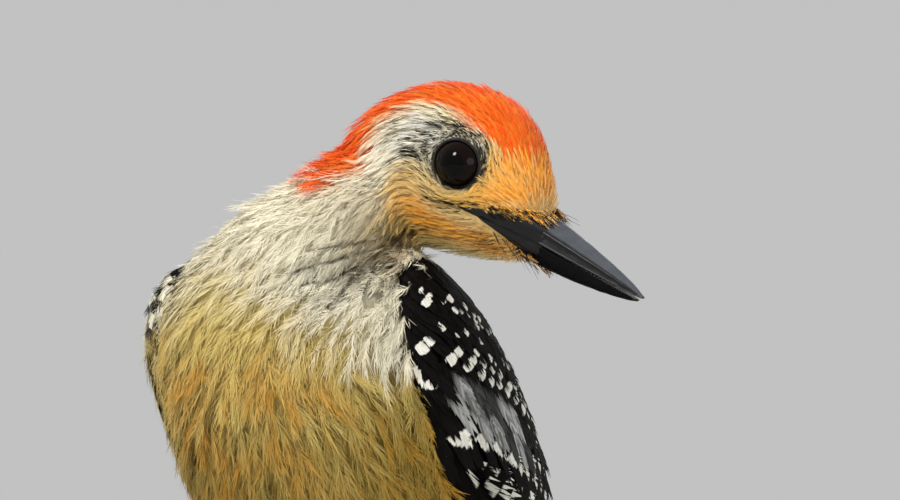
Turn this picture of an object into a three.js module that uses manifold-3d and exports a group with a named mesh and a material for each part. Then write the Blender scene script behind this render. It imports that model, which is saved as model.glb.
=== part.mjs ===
// A male red-bellied woodpecker (Melanerpes carolinus), life size, as a still museum model.
// It grips a short cut branch that two rods hold over a flat round base.
// Millimetres, +Z up. The origin is the centre of the base's underside, and -Y is the front.
//
// Every form is a loft: rings laid along a curve, with a half width, a height and a depth at
// a few named stations. Each form is then cut back from the neighbours that come before it.
import * as THREE from "three";
import { mergeVertices } from "three/addons/utils/BufferGeometryUtils.js";
import Module from "manifold-3d";

const wasm = await Module();
wasm.setup();

const GAP = 0.3; // clearance between pieces that meet
const rad = THREE.MathUtils.degToRad;
const vec = (x, y, z) => new THREE.Vector3(x, y, z);

// ---------------------------------------------------------------- driving dimensions

const BASE = { radius: 58, thick: 12, bevel: 1.5 };
const TRUNK = {
  centre: vec(-7.7, -12, 124),
  yaw: 32, // the breast is turned this far towards -X
  pitch: 55, // the back stands this steeply
};
const HEAD = {
  nostrils: vec(26.7, -42, 156.2), // on the mouth line, between the nostrils
  turn: 30, // how far the bill swings out of the X-Z plane, towards the front
  droop: 31, // how far the bill points below the horizontal
  roll: 16, // the crown tips towards the front
};
const BILL = { tip: 24.2 };
const EYE = { along: -14.6, aside: 8.8, above: 6.9, radius: 4.3, orbit: 4.8 };
const PERCH = { radius: 9, length: 112, below: 62, ahead: -8, tilt: 4 };
const WINGS = {
  left: { off: 0.3, rise: 0, sag: 0, tuck: 0 },
  right: { off: 1.2, rise: 3, sag: 5, tuck: 4.4 },
};
const LEG = { apart: 11, tarsus: 1.7, toe: 1.55, claw: 1.0, heelBack: 8, heelUp: 19 };
const TAIL = { root: -44, length: 80, feathers: 5, step: 0.7, thick: 1.0 };
const ROD = { radius: 2.5, apart: 30 };

// ---------------------------------------------------------------- frames

// A place with its own axes: ahead (x), left (y) and above (z).
function frameOf(origin, ahead, above) {
  const x = ahead.clone().normalize();
  const y = above.clone().cross(x).normalize();
  const z = x.clone().cross(y);
  return new THREE.Matrix4().makeBasis(x, y, z).setPosition(origin);
}

function trunkFrame() {
  const pitch = rad(TRUNK.pitch);
  const yaw = rad(TRUNK.yaw);
  const ahead = vec(
    -Math.cos(pitch) * Math.sin(yaw),
    -Math.cos(pitch) * Math.cos(yaw),
    Math.sin(pitch),
  );
  const above = vec(
    Math.sin(pitch) * Math.sin(yaw),
    Math.sin(pitch) * Math.cos(yaw),
    Math.cos(pitch),
  );
  return frameOf(TRUNK.centre, ahead, above);
}

function headFrame() {
  const turn = rad(HEAD.turn);
  const droop = rad(HEAD.droop);
  const ahead = vec(
    Math.cos(turn) * Math.cos(droop),
    -Math.sin(turn),
    -Math.cos(turn) * Math.sin(droop),
  );
  const above = vec(Math.sin(droop), 0, Math.cos(droop));
  above.applyAxisAngle(ahead, rad(HEAD.roll));
  return frameOf(HEAD.nostrils, ahead, above);
}

const trunkAt = trunkFrame();
const headAt = headFrame();
const inTrunk = (x, y, z) => vec(x, y, z).applyMatrix4(trunkAt);
const inHead = (x, y, z) => vec(x, y, z).applyMatrix4(headAt);
const axisOf = (frame, column) =>
  vec(0, 0, 0).setFromMatrixColumn(frame, column);

// ---------------------------------------------------------------- lofts

// Smooth values between stations, which are objects with the same keys, in order of "at".
function between(stations, at) {
  const last = stations.length - 1;
  let i = 0;
  while (i < last - 1 && at > stations[i + 1].at) i += 1;
  const [a, b] = [stations[i], stations[i + 1]];
  const t = THREE.MathUtils.clamp((at - a.at) / (b.at - a.at), 0, 1);
  const before = stations[Math.max(i - 1, 0)];
  const after = stations[Math.min(i + 2, last)];
  const slope = (p, q, key) => (q[key] - p[key]) / (q.at - p.at || 1);
  const value = {};
  for (const key of Object.keys(a)) {
    const run = b.at - a.at;
    const m0 = slope(before, b, key) * run;
    const m1 = slope(a, after, key) * run;
    value[key] =
      (2 * t ** 3 - 3 * t ** 2 + 1) * a[key] +
      (t ** 3 - 2 * t ** 2 + t) * m0 +
      (3 * t ** 2 - 2 * t ** 3) * b[key] +
      (t ** 3 - t ** 2) * m1;
  }
  return value;
}

// How far a form has closed in, near an end that is rounded over a length.
const closing = (distance, length) =>
  length > 0 && distance < length
    ? Math.sqrt(Math.max(0, 1 - (1 - distance / length) ** 2))
    : 1;

// A closed loft. place(at) gives a matrix, and the stations give the half width "wide", the
// reach "up" and "down" from the line, and the line's own "lift". "ends" holds the lengths
// over which the two ends close, and "edge" over 1 makes the section angular. "grow" makes
// the whole form larger.
function loft({ stations, place, ends, around, along, edge = 1 }, grow = 0) {
  const from = stations[0].at;
  const to = stations[stations.length - 1].at;
  const grid = new THREE.SphereGeometry(1, around, along);
  const position = grid.getAttribute("position");
  const point = vec(0, 0, 0);
  for (let n = 0; n < position.count; n += 1) {
    const row = Math.floor(n / (around + 1));
    const turn = ((n % (around + 1)) / around) * 2 * Math.PI;
    const share = (1 - Math.cos((Math.PI * row) / along)) / 2;
    const at = THREE.MathUtils.lerp(from, to, share);
    const size = between(stations, at);
    const close = Math.min(
      closing(at - from, ends[0]),
      closing(to - at, ends[1]),
    );
    const atTip = row === 0 || row === along;
    const out = atTip ? 0 : 1;
    const [c, s] = [Math.cos(turn), Math.sin(turn)];
    const shaped = (v) => out * Math.sign(v) * Math.abs(v) ** edge;
    const reach = s > 0 ? size.up : size.down;
    point.set(
      at,
      shaped(c) * (size.wide * close + grow),
      shaped(s) * (reach * close + grow) + (size.lift || 0),
    );
    point.applyMatrix4(place(at));
    position.setXYZ(n, point.x, point.y, point.z);
  }
  return solidOf(grid);
}

// The ring's plane lies across a straight line: the loft's own x is the line.
const straight = (frame) => () => frame;

// The ring's plane follows a curve whose length the stations count in shares from 0 to 1.
function following(curve, aboveAt) {
  return (share) => {
    const t = THREE.MathUtils.clamp(share, 0, 1);
    const origin = curve.getPointAt(t);
    const frame = frameOf(origin, curve.getTangentAt(t), aboveAt(t));
    return frame.multiply(new THREE.Matrix4().makeTranslation(-share, 0, 0));
  };
}

// A three.js geometry as a manifold solid that faces out.
function solidOf(geometry) {
  geometry.deleteAttribute("normal");
  geometry.deleteAttribute("uv");
  const merged = mergeVertices(geometry, 1e-4);
  const faces = merged.index.array;
  const solid = manifoldOf(merged, faces);
  if (solid.volume() > 0) return solid;
  for (let i = 0; i < faces.length; i += 3)
    [faces[i + 1], faces[i + 2]] = [faces[i + 2], faces[i + 1]];
  return manifoldOf(merged, faces);
}

const manifoldOf = (geometry, faces) =>
  new wasm.Manifold(
    new wasm.Mesh({
      numProp: 3,
      vertProperties: geometry.getAttribute("position").array,
      triVerts: new Uint32Array(faces),
    }),
  );

function geometryOf(solid) {
  const mesh = solid.getMesh();
  const points = new Float32Array(mesh.numVert * 3);
  for (let i = 0; i < mesh.numVert; i += 1)
    for (let k = 0; k < 3; k += 1)
      points[i * 3 + k] = mesh.vertProperties[i * mesh.numProp + k];
  const geometry = new THREE.BufferGeometry();
  geometry.setAttribute("position", new THREE.BufferAttribute(points, 3));
  geometry.setIndex(new THREE.BufferAttribute(mesh.triVerts, 1));
  geometry.computeVertexNormals();
  return geometry;
}

const largest = (solid) =>
  solid.decompose().reduce((a, b) => (b.volume() > a.volume() ? b : a));

// ---------------------------------------------------------------- trunk, neck and head

const TRUNK_STATIONS = [
  { at: -62, wide: 8, up: 3, down: 4 },
  { at: -50, wide: 13.5, up: 7, down: 11 },
  { at: -36, wide: 21, up: 13, down: 20 },
  { at: -18, wide: 27.5, up: 18, down: 27 },
  { at: -2, wide: 28.8, up: 20, down: 28.6 },
  { at: 14, wide: 27.4, up: 19.5, down: 27 },
  { at: 27, wide: 24, up: 17, down: 22 },
  { at: 36, wide: 18.5, up: 13, down: 16 },
  { at: 43, wide: 13, up: 9, down: 11 },
];
const trunk = (grow) =>
  loft(
    {
      stations: TRUNK_STATIONS,
      place: straight(trunkAt),
      ends: [14, 14],
      around: 26,
      along: 18,
    },
    grow,
  );

// Along the mouth line: x is ahead of the nostrils, and the lift is from the mouth line.
const HEAD_STATIONS = [
  { at: -42, wide: 8.5, up: 7, down: 8, lift: -1 },
  { at: -36, wide: 11, up: 10.5, down: 11, lift: 0.5 },
  { at: -30, wide: 12.4, up: 13.2, down: 13, lift: 1.8 },
  { at: -24, wide: 12.9, up: 15, down: 13.8, lift: 2.8 },
  { at: -17, wide: 12.6, up: 15.4, down: 14, lift: 3.2 },
  { at: -10, wide: 10.8, up: 13.4, down: 11.6, lift: 3 },
  { at: -4, wide: 7.6, up: 8.8, down: 8.2, lift: 1.8 },
  { at: 1, wide: 5.0, up: 4.8, down: 5.4, lift: 0.6 },
  { at: 4.5, wide: 3.4, up: 3.2, down: 3.8, lift: 0 },
];
const skull = (grow) =>
  loft(
    {
      stations: HEAD_STATIONS,
      place: straight(headAt),
      ends: [12, 1.5],
      around: 24,
      along: 18,
    },
    grow,
  );

const NECK_STATIONS = [
  { at: 0, wide: 16, up: 12, down: 15 },
  { at: 0.3, wide: 17.5, up: 13.5, down: 17 },
  { at: 0.5, wide: 13.5, up: 12, down: 15 },
  { at: 0.7, wide: 11.2, up: 11, down: 12.5 },
  { at: 0.85, wide: 10.5, up: 10.5, down: 11 },
  { at: 1, wide: 9.5, up: 9.5, down: 9.5 },
];
const neckLine = new THREE.CatmullRomCurve3([
  inTrunk(14, 0, 1),
  inTrunk(27, 1, 1),
  inTrunk(36, 6, -1).lerp(inHead(-30, 0, -8), 0.5),
  inHead(-29, 0, -2),
  inHead(-24, 0, 3),
]);
const neckAbove = () => axisOf(trunkAt, 2);
const neckForm = (grow) =>
  loft(
    {
      stations: NECK_STATIONS,
      place: following(neckLine, neckAbove),
      ends: [0.2, 0.2],
      around: 18,
      along: 12,
    },
    grow,
  );

// ---------------------------------------------------------------- eyes and bill

const eyeball = (side, radius) => {
  const ball = new THREE.SphereGeometry(radius, 12, 8);
  const centre = inHead(EYE.along, side * EYE.aside, EYE.above);
  ball.applyMatrix4(new THREE.Matrix4().makeTranslation(centre));
  return solidOf(ball);
};

// The shallow dish of bare skin round each eye.
const orbit = (side) => {
  const dish = new THREE.SphereGeometry(1, 12, 8);
  dish.scale(EYE.orbit, 3, EYE.orbit);
  dish.translate(EYE.along, side * (EYE.aside + EYE.radius + 0.6), EYE.above);
  dish.applyMatrix4(headAt);
  return solidOf(dish);
};

const UPPER_STATIONS = [
  { at: -10, wide: 4.6, up: 4.6, down: 0.4 },
  { at: 0, wide: 4.1, up: 4.8, down: 0.4 },
  { at: 8, wide: 3.3, up: 3.9, down: 0.3 },
  { at: 16, wide: 2.2, up: 2.6, down: 0.2 },
  { at: 22, wide: 1.2, up: 1.3, down: 0.1 },
  { at: BILL.tip, wide: 0.7, up: 0.5, down: 0.1 },
];
const LOWER_STATIONS = [
  { at: -10, wide: 4.2, up: 0.1, down: 4.2 },
  { at: 2, wide: 3.6, up: 0.1, down: 3.9 },
  { at: 10, wide: 2.7, up: 0.1, down: 3.2 },
  { at: 17, wide: 1.8, up: 0.1, down: 2.1 },
  { at: BILL.tip - 0.9, wide: 0.7, up: 0.1, down: 0.5 },
];
const mandible = (stations, lift) => (grow) =>
  loft(
    {
      stations,
      place: straight(
        headAt
          .clone()
          .multiply(new THREE.Matrix4().makeTranslation(0, 0, lift)),
      ),
      ends: [1, 0.8],
      around: 14,
      along: 10,
      edge: 1.15,
    },
    grow,
  );

// ---------------------------------------------------------------- wings and tail

// The folded wing lies along the trunk: its line runs from the bend back to the tips.
// "off" holds it away from the flank, "rise" lifts it towards the back, "sag" drops its
// bend towards the breast, and "tuck" draws it in behind the bend.
function wingForms(side, { off, rise, sag, tuck }) {
  const behind = off - tuck;
  const coverts = [
    { at: 0, wide: 3, up: 5, down: 4 },
    { at: 0.14, wide: 6, up: 12, down: 9 },
    { at: 0.35, wide: 7.5, up: 17.5, down: 16 },
    { at: 0.6, wide: 6.5, up: 18, down: 19.5 },
    { at: 0.82, wide: 4, up: 13, down: 12 },
    { at: 1, wide: 1.2, up: 5, down: 4 },
  ];
  const covertLine = new THREE.CatmullRomCurve3([
    inTrunk(34 - 0.4 * sag, side * (22 + off), rise + 4 - sag),
    inTrunk(20, side * (24.5 + off), rise + 2 - 0.7 * sag),
    inTrunk(-4, side * (25.5 + behind), rise + 2),
    inTrunk(-28, side * (23.5 + behind), rise + 5),
    inTrunk(-56, side * (14.5 + behind / 3), rise / 2 + 8),
  ]);
  const primaries = [
    { at: 0, wide: 1.2, up: 7, down: 8 },
    { at: 0.35, wide: 1.2, up: 7.5, down: 8 },
    { at: 0.7, wide: 0.9, up: 6, down: 6 },
    { at: 1, wide: 0.6, up: 2, down: 2.5 },
  ];
  const primaryLine = new THREE.CatmullRomCurve3([
    inTrunk(-18, side * (26 + behind), rise - 6),
    inTrunk(-40, side * (20.5 + behind / 2), rise),
    inTrunk(-66, side * 13.5, rise / 2 + 5),
    inTrunk(-88, side * 8.5, 7.5),
  ]);
  // The blade stands across the trunk's side, so its height follows a slanting "above".
  const slanted = axisOf(trunkAt, 2)
    .multiplyScalar(Math.cos(rad(16)))
    .addScaledVector(axisOf(trunkAt, 1), -side * Math.sin(rad(16)));
  const form = (stations, line, around, along) => (grow) =>
    loft(
      {
        stations,
        place: following(line, () => slanted),
        ends: [0.12, 0.1],
        around,
        along,
      },
      grow,
    );
  return {
    coverts: form(coverts, covertLine, 16, 12),
    primaries: form(primaries, primaryLine, 8, 8),
  };
}

// Stiff pointed tail feathers, joined: the middle pair is the longest and lies on top.
function tailFeather(side, rank, grow) {
  const fan = rad(1.6 + 3.2 * rank);
  const length = TAIL.length - 3.6 * rank - 1.3 * rank ** 2;
  const half = 5.4 - 0.35 * rank;
  const t = TAIL.thick / 2;
  const stations = [
    { at: 0, wide: half * 0.6, up: t, down: t },
    { at: length * 0.5, wide: half, up: t, down: t },
    { at: length * 0.85, wide: half * 0.8, up: t * 0.8, down: t * 0.8 },
    { at: length, wide: 0.8, up: 0.28, down: 0.28 },
  ];
  const frame = frameOf(
    vec(TAIL.root, side * (2.4 + 0.9 * rank), 1.5 - TAIL.step * rank + side * 0.15),
    vec(-Math.cos(fan), side * Math.sin(fan), -0.04),
    vec(0, side * 0.05, 1),
  ).premultiply(trunkAt);
  const ends = [1, 5];
  const place = straight(frame);
  return loft({ stations, place, ends, around: 6, along: 4 }, grow);
}

function tail(grow) {
  let all = tailFeather(1, 0, grow);
  for (let rank = 0; rank < TAIL.feathers; rank += 1)
    for (const side of [1, -1]) all = all.add(tailFeather(side, rank, grow));
  return all;
}

// ---------------------------------------------------------------- perch and legs

const yaw = rad(TRUNK.yaw);
const front = vec(-Math.sin(yaw), -Math.cos(yaw), 0);
const across = vec(Math.cos(yaw), -Math.sin(yaw), 0)
  .applyAxisAngle(front, rad(PERCH.tilt))
  .normalize();
const perchCentre = TRUNK.centre
  .clone()
  .addScaledVector(front, PERCH.ahead)
  .add(vec(0, 0, -PERCH.below));
const perchAt = frameOf(perchCentre, across, vec(0, 0, 1));
const inPerch = (x, y, z) => vec(x, y, z).applyMatrix4(perchAt);

// A slightly wavy length of branch, with the stub of a side shoot.
function perch(grow) {
  const half = PERCH.length / 2;
  const r = PERCH.radius;
  const stations = [-1, -0.55, -0.1, 0.35, 0.7, 1].map((share, i) => ({
    at: share * half,
    wide: r * (1.04 - 0.05 * share + 0.03 * Math.sin(2.1 * i)),
    up: r * (1.02 - 0.05 * share + 0.03 * Math.cos(1.7 * i)),
    down: r * (1.02 - 0.05 * share + 0.04 * Math.sin(1.3 * i + 1)),
  }));
  const branch = loft(
    { stations, place: straight(perchAt), ends: [0.6, 0.6], around: 18, along: 12 },
    grow,
  );
  const shoot = across
    .clone()
    .multiplyScalar(-0.6)
    .addScaledVector(front, 0.6)
    .add(vec(0, 0, 0.55));
  const stub = loft(
    {
      stations: [
        { at: 0, wide: 4.4, up: 4.4, down: 4.4 },
        { at: 19, wide: 3.3, up: 3.3, down: 3.3 },
      ],
      place: straight(
        frameOf(inPerch(-half * 0.62, 0, 0), shoot, vec(0, 0, 1)),
      ),
      ends: [0.5, 0.5],
      around: 12,
      along: 4,
    },
    grow,
  );
  return branch.add(stub);
}
// One toe curls round the perch: it starts on top and runs down to angle "to".
function toeAndClaw(side, toe) {
  const r = PERCH.radius + LEG.toe * 0.8;
  const foot = side * LEG.apart;
  const around = (share, lift) => {
    const angle = toe.forwards * THREE.MathUtils.lerp(0, rad(toe.to), share);
    const aside = foot + toe.aside * (0.25 + 0.75 * share) * side;
    return inPerch(
      aside,
      -Math.sin(angle) * (r + lift),
      Math.cos(angle) * (r + lift),
    );
  };
  const toeLine = new THREE.CatmullRomCurve3(
    [0, 0.25, 0.5, 0.75, 1].map((share) =>
      around(share, 1.2 * (1 - share) + 0.5 * Math.sin(3 * Math.PI * share)),
    ),
  );
  const clawLine = new THREE.CatmullRomCurve3([
    around(0.97, 0.2),
    around(1 + 9 / toe.to, 1.3),
    around(1 + 20 / toe.to, 1.2),
    around(1 + 31 / toe.to, -0.1),
  ]);
  const outward = (line) => (t) =>
    line.getPointAt(t).sub(perchCentre).projectOnPlane(across);
  const thickness = (share, size) => ({
    at: share,
    wide: size,
    up: size,
    down: size,
  });
  return {
    toe: (grow) =>
      loft(
        {
          stations: [
            thickness(0, LEG.toe),
            thickness(0.5, LEG.toe * 0.92),
            thickness(1, LEG.toe * 0.8),
          ],
          place: following(toeLine, outward(toeLine)),
          ends: [0.08, 0.08],
          around: 7,
          along: 6,
        },
        grow,
      ),
    claw: (grow) =>
      loft(
        {
          stations: [
            thickness(0, LEG.claw * 1.1),
            thickness(0.5, LEG.claw * 0.75),
            thickness(1, 0.28),
          ],
          place: following(clawLine, outward(clawLine)),
          ends: [0.05, 0.1],
          around: 5,
          along: 5,
        },
        grow,
      ),
  };
}

// Two toes point forwards and two backwards.
const TOES = [
  { name: "toe_2", forwards: 1, aside: -3.6, to: 72 },
  { name: "toe_3", forwards: 1, aside: 3.2, to: 92 },
  { name: "toe_4", forwards: -1, aside: 4.6, to: 88 },
  { name: "toe_1", forwards: -1, aside: -3.0, to: 50 },
];

function legForms(side) {
  const sole = inPerch(side * LEG.apart, 0, PERCH.radius + 1.4);
  const heel = sole
    .clone()
    .addScaledVector(front, -LEG.heelBack)
    .add(vec(0, 0, LEG.heelUp));
  const shank = new THREE.CatmullRomCurve3([
    sole,
    sole.clone().lerp(heel, 0.45),
    heel,
  ]);
  const thighLine = new THREE.LineCurve3(
    shank.getPointAt(0.4),
    heel.clone().add(vec(0, 0, 5)),
  );
  const round = (at, size) => ({ at, wide: size, up: size * 1.1, down: size });
  return {
    tarsus: (grow) =>
      loft(
        {
          stations: [round(0, 2.5), round(0.16, 1.9), round(0.55, 1.5), round(1, 2)],
          place: following(shank, () => front),
          ends: [0.12, 0.1],
          around: 10,
          along: 8,
        },
        grow,
      ),
    thigh: (grow) =>
      loft(
        {
          stations: [round(0, 2.7), round(0.35, 4.8), round(0.7, 6.6), round(1, 7)],
          place: following(thighLine, () => front),
          ends: [0.12, 0.2],
          around: 12,
          along: 8,
        },
        grow,
      ),
  };
}

// ---------------------------------------------------------------- stand

function base() {
  const { radius, thick, bevel } = BASE;
  const outline = [
    [0, 0],
    [radius - 0.6, 0],
    [radius, 0.6],
    [radius, thick - bevel],
    [radius - bevel * 0.3, thick - bevel * 0.3],
    [radius - bevel, thick],
    [0, thick],
  ].map(([r, z]) => new THREE.Vector2(r, z));
  return solidOf(
    new THREE.LatheGeometry(outline, 36).rotateX(Math.PI / 2),
  );
}

function rod(side) {
  return (grow) => {
    const foot = inPerch(side * (ROD.apart / 2), 0, 0);
    const tall = foot.z - BASE.thick - GAP;
    const bar = new THREE.CylinderGeometry(
      ROD.radius + grow,
      ROD.radius + grow,
      tall,
      16,
    );
    bar.rotateX(Math.PI / 2);
    bar.translate(foot.x, foot.y, BASE.thick + GAP + tall / 2);
    return solidOf(bar);
  };
}

// ---------------------------------------------------------------- the whole model

const COLOURS = {
  cream: [0xd8c9a0, 0.9],
  face: [0xcfc6a8, 0.9],
  horn: [0x26272b, 0.35],
  eye: [0x140606, 0.08],
  barred: [0x1d1c1c, 0.7],
  scale: [0x6d7066, 0.6],
  bark: [0x6b5444, 0.85],
  steel: [0x8b8d8f, 0.3],
  base: [0x3a2a1f, 0.5],
};

const model = new THREE.Group();
const done = []; // every form so far, grown by the gap, to cut the next ones

// Adds a piece: its form less the grown forms of the earlier pieces that it may meet.
function add(name, finish, form, cutters = [], carve = []) {
  let solid = form(0);
  for (const other of done)
    if (cutters.includes(other.name)) solid = solid.subtract(other.grown);
  for (const tool of carve) solid = solid.subtract(tool);
  solid = largest(solid);
  done.push({ name, grown: form(GAP) });
  const [colour, roughness] = COLOURS[finish];
  const mesh = new THREE.Mesh(
    geometryOf(solid),
    new THREE.MeshStandardMaterial({ color: colour, roughness }),
  );
  mesh.name = name;
  model.add(mesh);
}

const SIDES = [
  ["left", 1],
  ["right", -1],
];

add("bill_upper", "horn", mandible(UPPER_STATIONS, 0.3), [], [skull(GAP)]);
add("bill_lower", "horn", mandible(LOWER_STATIONS, -0.3), ["bill_upper"], [
  skull(GAP),
]);
for (const [label, side] of SIDES)
  add("eye_" + label, "eye", () => eyeball(side, EYE.radius));
add("head", "face", skull, [], [
  eyeball(1, EYE.radius + GAP),
  eyeball(-1, EYE.radius + GAP),
  orbit(1),
  orbit(-1),
]);
add("trunk", "cream", trunk);
add("neck", "cream", neckForm, ["head", "trunk"]);

for (const [label, side] of SIDES) {
  const { coverts, primaries } = wingForms(side, WINGS[label]);
  add("wing_" + label, "barred", coverts, ["trunk", "neck"]);
  add("primaries_" + label, "barred", primaries, ["trunk", "wing_" + label]);
}
add("tail", "barred", tail, [
  "trunk",
  "primaries_left",
  "primaries_right",
  "wing_left",
  "wing_right",
]);

add("perch", "bark", perch);
for (const [label, side] of SIDES) {
  const { tarsus, thigh } = legForms(side);
  add("tarsus_" + label, "scale", tarsus, ["perch", "trunk"]);
  add("thigh_" + label, "cream", thigh, [
    "trunk",
    "tarsus_" + label,
    "wing_" + label,
    "primaries_" + label,
  ]);
  const earlier = ["perch", "tarsus_" + label];
  for (const toe of TOES) {
    const { toe: toeForm, claw } = toeAndClaw(side, toe);
    const name = `${toe.name}_${label}`;
    add(name, "scale", toeForm, earlier);
    earlier.push(name);
    add("claw_" + name, "horn", claw, earlier);
  }
}
add("stand_base", "base", base);
for (const [label, side] of SIDES)
  add("stand_rod_" + label, "steel", rod(side), ["perch", "stand_base"]);

export default model;
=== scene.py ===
# %% [markdown]
# # A red-bellied woodpecker, life size
# The solid model of this bird is already packed in real units: head, neck, trunk, wings, tail, legs, a cut
# branch and a display stand. This lesson dresses it. A museum model of a small bird is judged by its
# plumage, so nearly all the work goes into feathers that are real meshes, laid the way a bird wears them.
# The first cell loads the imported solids. Everything after it is placed from them and never moves them.

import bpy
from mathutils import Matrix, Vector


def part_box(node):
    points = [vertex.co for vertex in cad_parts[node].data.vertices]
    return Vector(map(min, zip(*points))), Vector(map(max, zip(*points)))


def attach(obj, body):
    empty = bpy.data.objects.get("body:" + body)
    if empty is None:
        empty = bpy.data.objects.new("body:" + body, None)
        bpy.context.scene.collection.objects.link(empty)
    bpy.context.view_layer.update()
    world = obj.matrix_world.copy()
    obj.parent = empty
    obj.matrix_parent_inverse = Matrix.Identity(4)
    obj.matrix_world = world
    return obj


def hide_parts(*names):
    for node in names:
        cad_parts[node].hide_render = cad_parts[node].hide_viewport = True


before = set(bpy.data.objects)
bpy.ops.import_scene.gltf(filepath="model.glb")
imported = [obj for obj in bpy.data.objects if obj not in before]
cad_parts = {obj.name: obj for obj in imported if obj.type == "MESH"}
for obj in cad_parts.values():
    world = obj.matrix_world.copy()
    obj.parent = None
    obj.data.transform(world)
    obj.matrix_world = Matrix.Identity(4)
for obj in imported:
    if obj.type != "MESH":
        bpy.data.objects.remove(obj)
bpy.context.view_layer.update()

# %% [markdown]
# ## Units and axes
# Bird parts are easiest to think of in millimetres and in their own directions: ahead, left and up along
# the head or the trunk. One small class keeps such a set of axes. The alternative, parenting empties and
# asking Blender for matrices, gives the same numbers but is slow for arrays of many thousand points.

# %% Axes that belong to a part of the bird
import math

import bmesh
import bpy
import numpy as np
from mathutils import Vector, noise
from mathutils.bvhtree import BVHTree
from mathutils.kdtree import KDTree

MM = 1000.0
SIDES = (("left", 1), ("right", -1))


def unit(vectors):
    """The same directions with length 1. Works on one vector or on an array of them."""
    vectors = np.asarray(vectors, float)
    return vectors / np.maximum(np.linalg.norm(vectors, axis=-1, keepdims=True), 1e-12)


def dot(first, second):
    """How far each vector reaches along its partner, kept as a column."""
    return np.sum(first * second, axis=-1, keepdims=True)


class Axes:
    """Ahead, left and up at an origin. Places are in millimetres."""

    def __init__(self, origin, ahead, up):
        ahead = unit(ahead)
        left = unit(np.cross(up, ahead))
        self.origin = np.asarray(origin, float)
        self.rows = np.array([ahead, left, np.cross(ahead, left)])

    def out(self, place):
        """From ahead, left and up to the room."""
        return self.origin + np.asarray(place, float) @ self.rows

    def into(self, points):
        """From the room to ahead, left and up."""
        return (np.asarray(points, float) - self.origin) @ self.rows.T

    def turned(self, direction):
        """A direction of the part as a direction of the room."""
        return np.asarray(direction, float) @ self.rows


def rows_of(items, layer):
    """The vectors of one layer of a mesh, a row for each."""
    flat = np.empty(len(items) * 3, np.float32)
    items.foreach_get(layer, flat)
    return flat.reshape(-1, 3).astype(float)


def corners_of(node):
    """A node's corner points in millimetres."""
    return rows_of(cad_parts[node].data.vertices, "co") * MM


def box_of(node):
    """The lowest and the highest corner of a node's box, in metres."""
    return np.array([list(corner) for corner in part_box(node)])


def middle_of(node):
    """The middle of a node's box in millimetres."""
    return box_of(node).mean(axis=0) * MM


def placed(name, data):
    """A new object in the scene that shows the data."""
    made = bpy.data.objects.new(name, data)
    bpy.context.scene.collection.objects.link(made)
    return made


# %% [markdown]
# The head's axes come from its two eyes and the tip of the bill. The trunk is an egg with a sharp pole at
# each end, so its axes come from the two corners that are farthest apart.

# %% Find the head and the trunk
BILL_TIP = (24.2, 0.0, 0.3)
EYE_MIDDLE = (-14.6, 0.0, 6.9)
TRUNK_POLES = (43.0, -62.0)

eye_left, eye_right = middle_of("eye_left"), middle_of("eye_right")
between_eyes = (eye_left + eye_right) / 2
bill_corners = corners_of("bill_upper")
tip = bill_corners[np.argmax(np.linalg.norm(bill_corners - between_eyes, axis=1))]
leftward = unit(eye_left - eye_right)
to_tip = tip - between_eyes
to_tip = unit(to_tip - leftward * (to_tip @ leftward))
dip = math.atan2(EYE_MIDDLE[2] - BILL_TIP[2], BILL_TIP[0] - EYE_MIDDLE[0])
head_up = np.cross(to_tip, leftward)
head_ahead = math.cos(dip) * to_tip + math.sin(dip) * head_up
head_up = math.cos(dip) * head_up - math.sin(dip) * to_tip
head = Axes(tip - BILL_TIP[0] * head_ahead - BILL_TIP[2] * head_up, head_ahead, head_up)

trunk_corners = corners_of("trunk")
middle = trunk_corners.mean(axis=0)
one_pole = trunk_corners[np.argmax(np.linalg.norm(trunk_corners - middle, axis=1))]
other_pole = trunk_corners[np.argmax(np.linalg.norm(trunk_corners - one_pole, axis=1))]
front_pole, rear_pole = sorted((one_pole, other_pole), key=lambda pole: -pole[2])
trunk_ahead = unit(front_pole - rear_pole)
trunk_left = unit(np.cross((0, 0, 1), trunk_ahead))
trunk = Axes(front_pole - TRUNK_POLES[0] * trunk_ahead, trunk_ahead, np.cross(trunk_ahead, trunk_left))
print("head at", head.origin.round(1), "trunk at", trunk.origin.round(1))

# %% [markdown]
# ## The long axis
# A coat of feathers flows from the bill to the tail. One smooth line runs down the middle of the bird, and
# each point of the skin reads from it how far along it is, which way the tail lies and how far round from
# the back it sits. Those three readings steer the feathers, their sizes and their markings. The back turns
# as well, because this bird looks over its side: its crown and its back are a third of a turn apart.


# %% The long axis and what a point reads from it
def smooth_line(knots, per_span):
    """A Catmull-Rom curve through the knots."""
    knots = np.asarray(knots, float)
    ends = np.vstack([2 * knots[0] - knots[1], knots, 2 * knots[-1] - knots[-2]])
    share = np.linspace(0, 1, per_span, endpoint=False)[:, None]
    spans = []
    for a, b, c, d in zip(ends[:-3], ends[1:-2], ends[2:-1], ends[3:]):
        spans.append(0.5 * (2 * b + (c - a) * share + (2 * a - 5 * b + 4 * c - d) * share**2
                            + (3 * b - a - 3 * c + d) * share**3))
    return np.vstack(spans + [knots[-1:]])


def fade(value, low, high):
    """0 below low, 1 above high and a smooth step between. low may be the larger."""
    share = np.clip((np.asarray(value, float) - low) / (high - low), 0, 1)
    return share * share * (3 - 2 * share)


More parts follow.
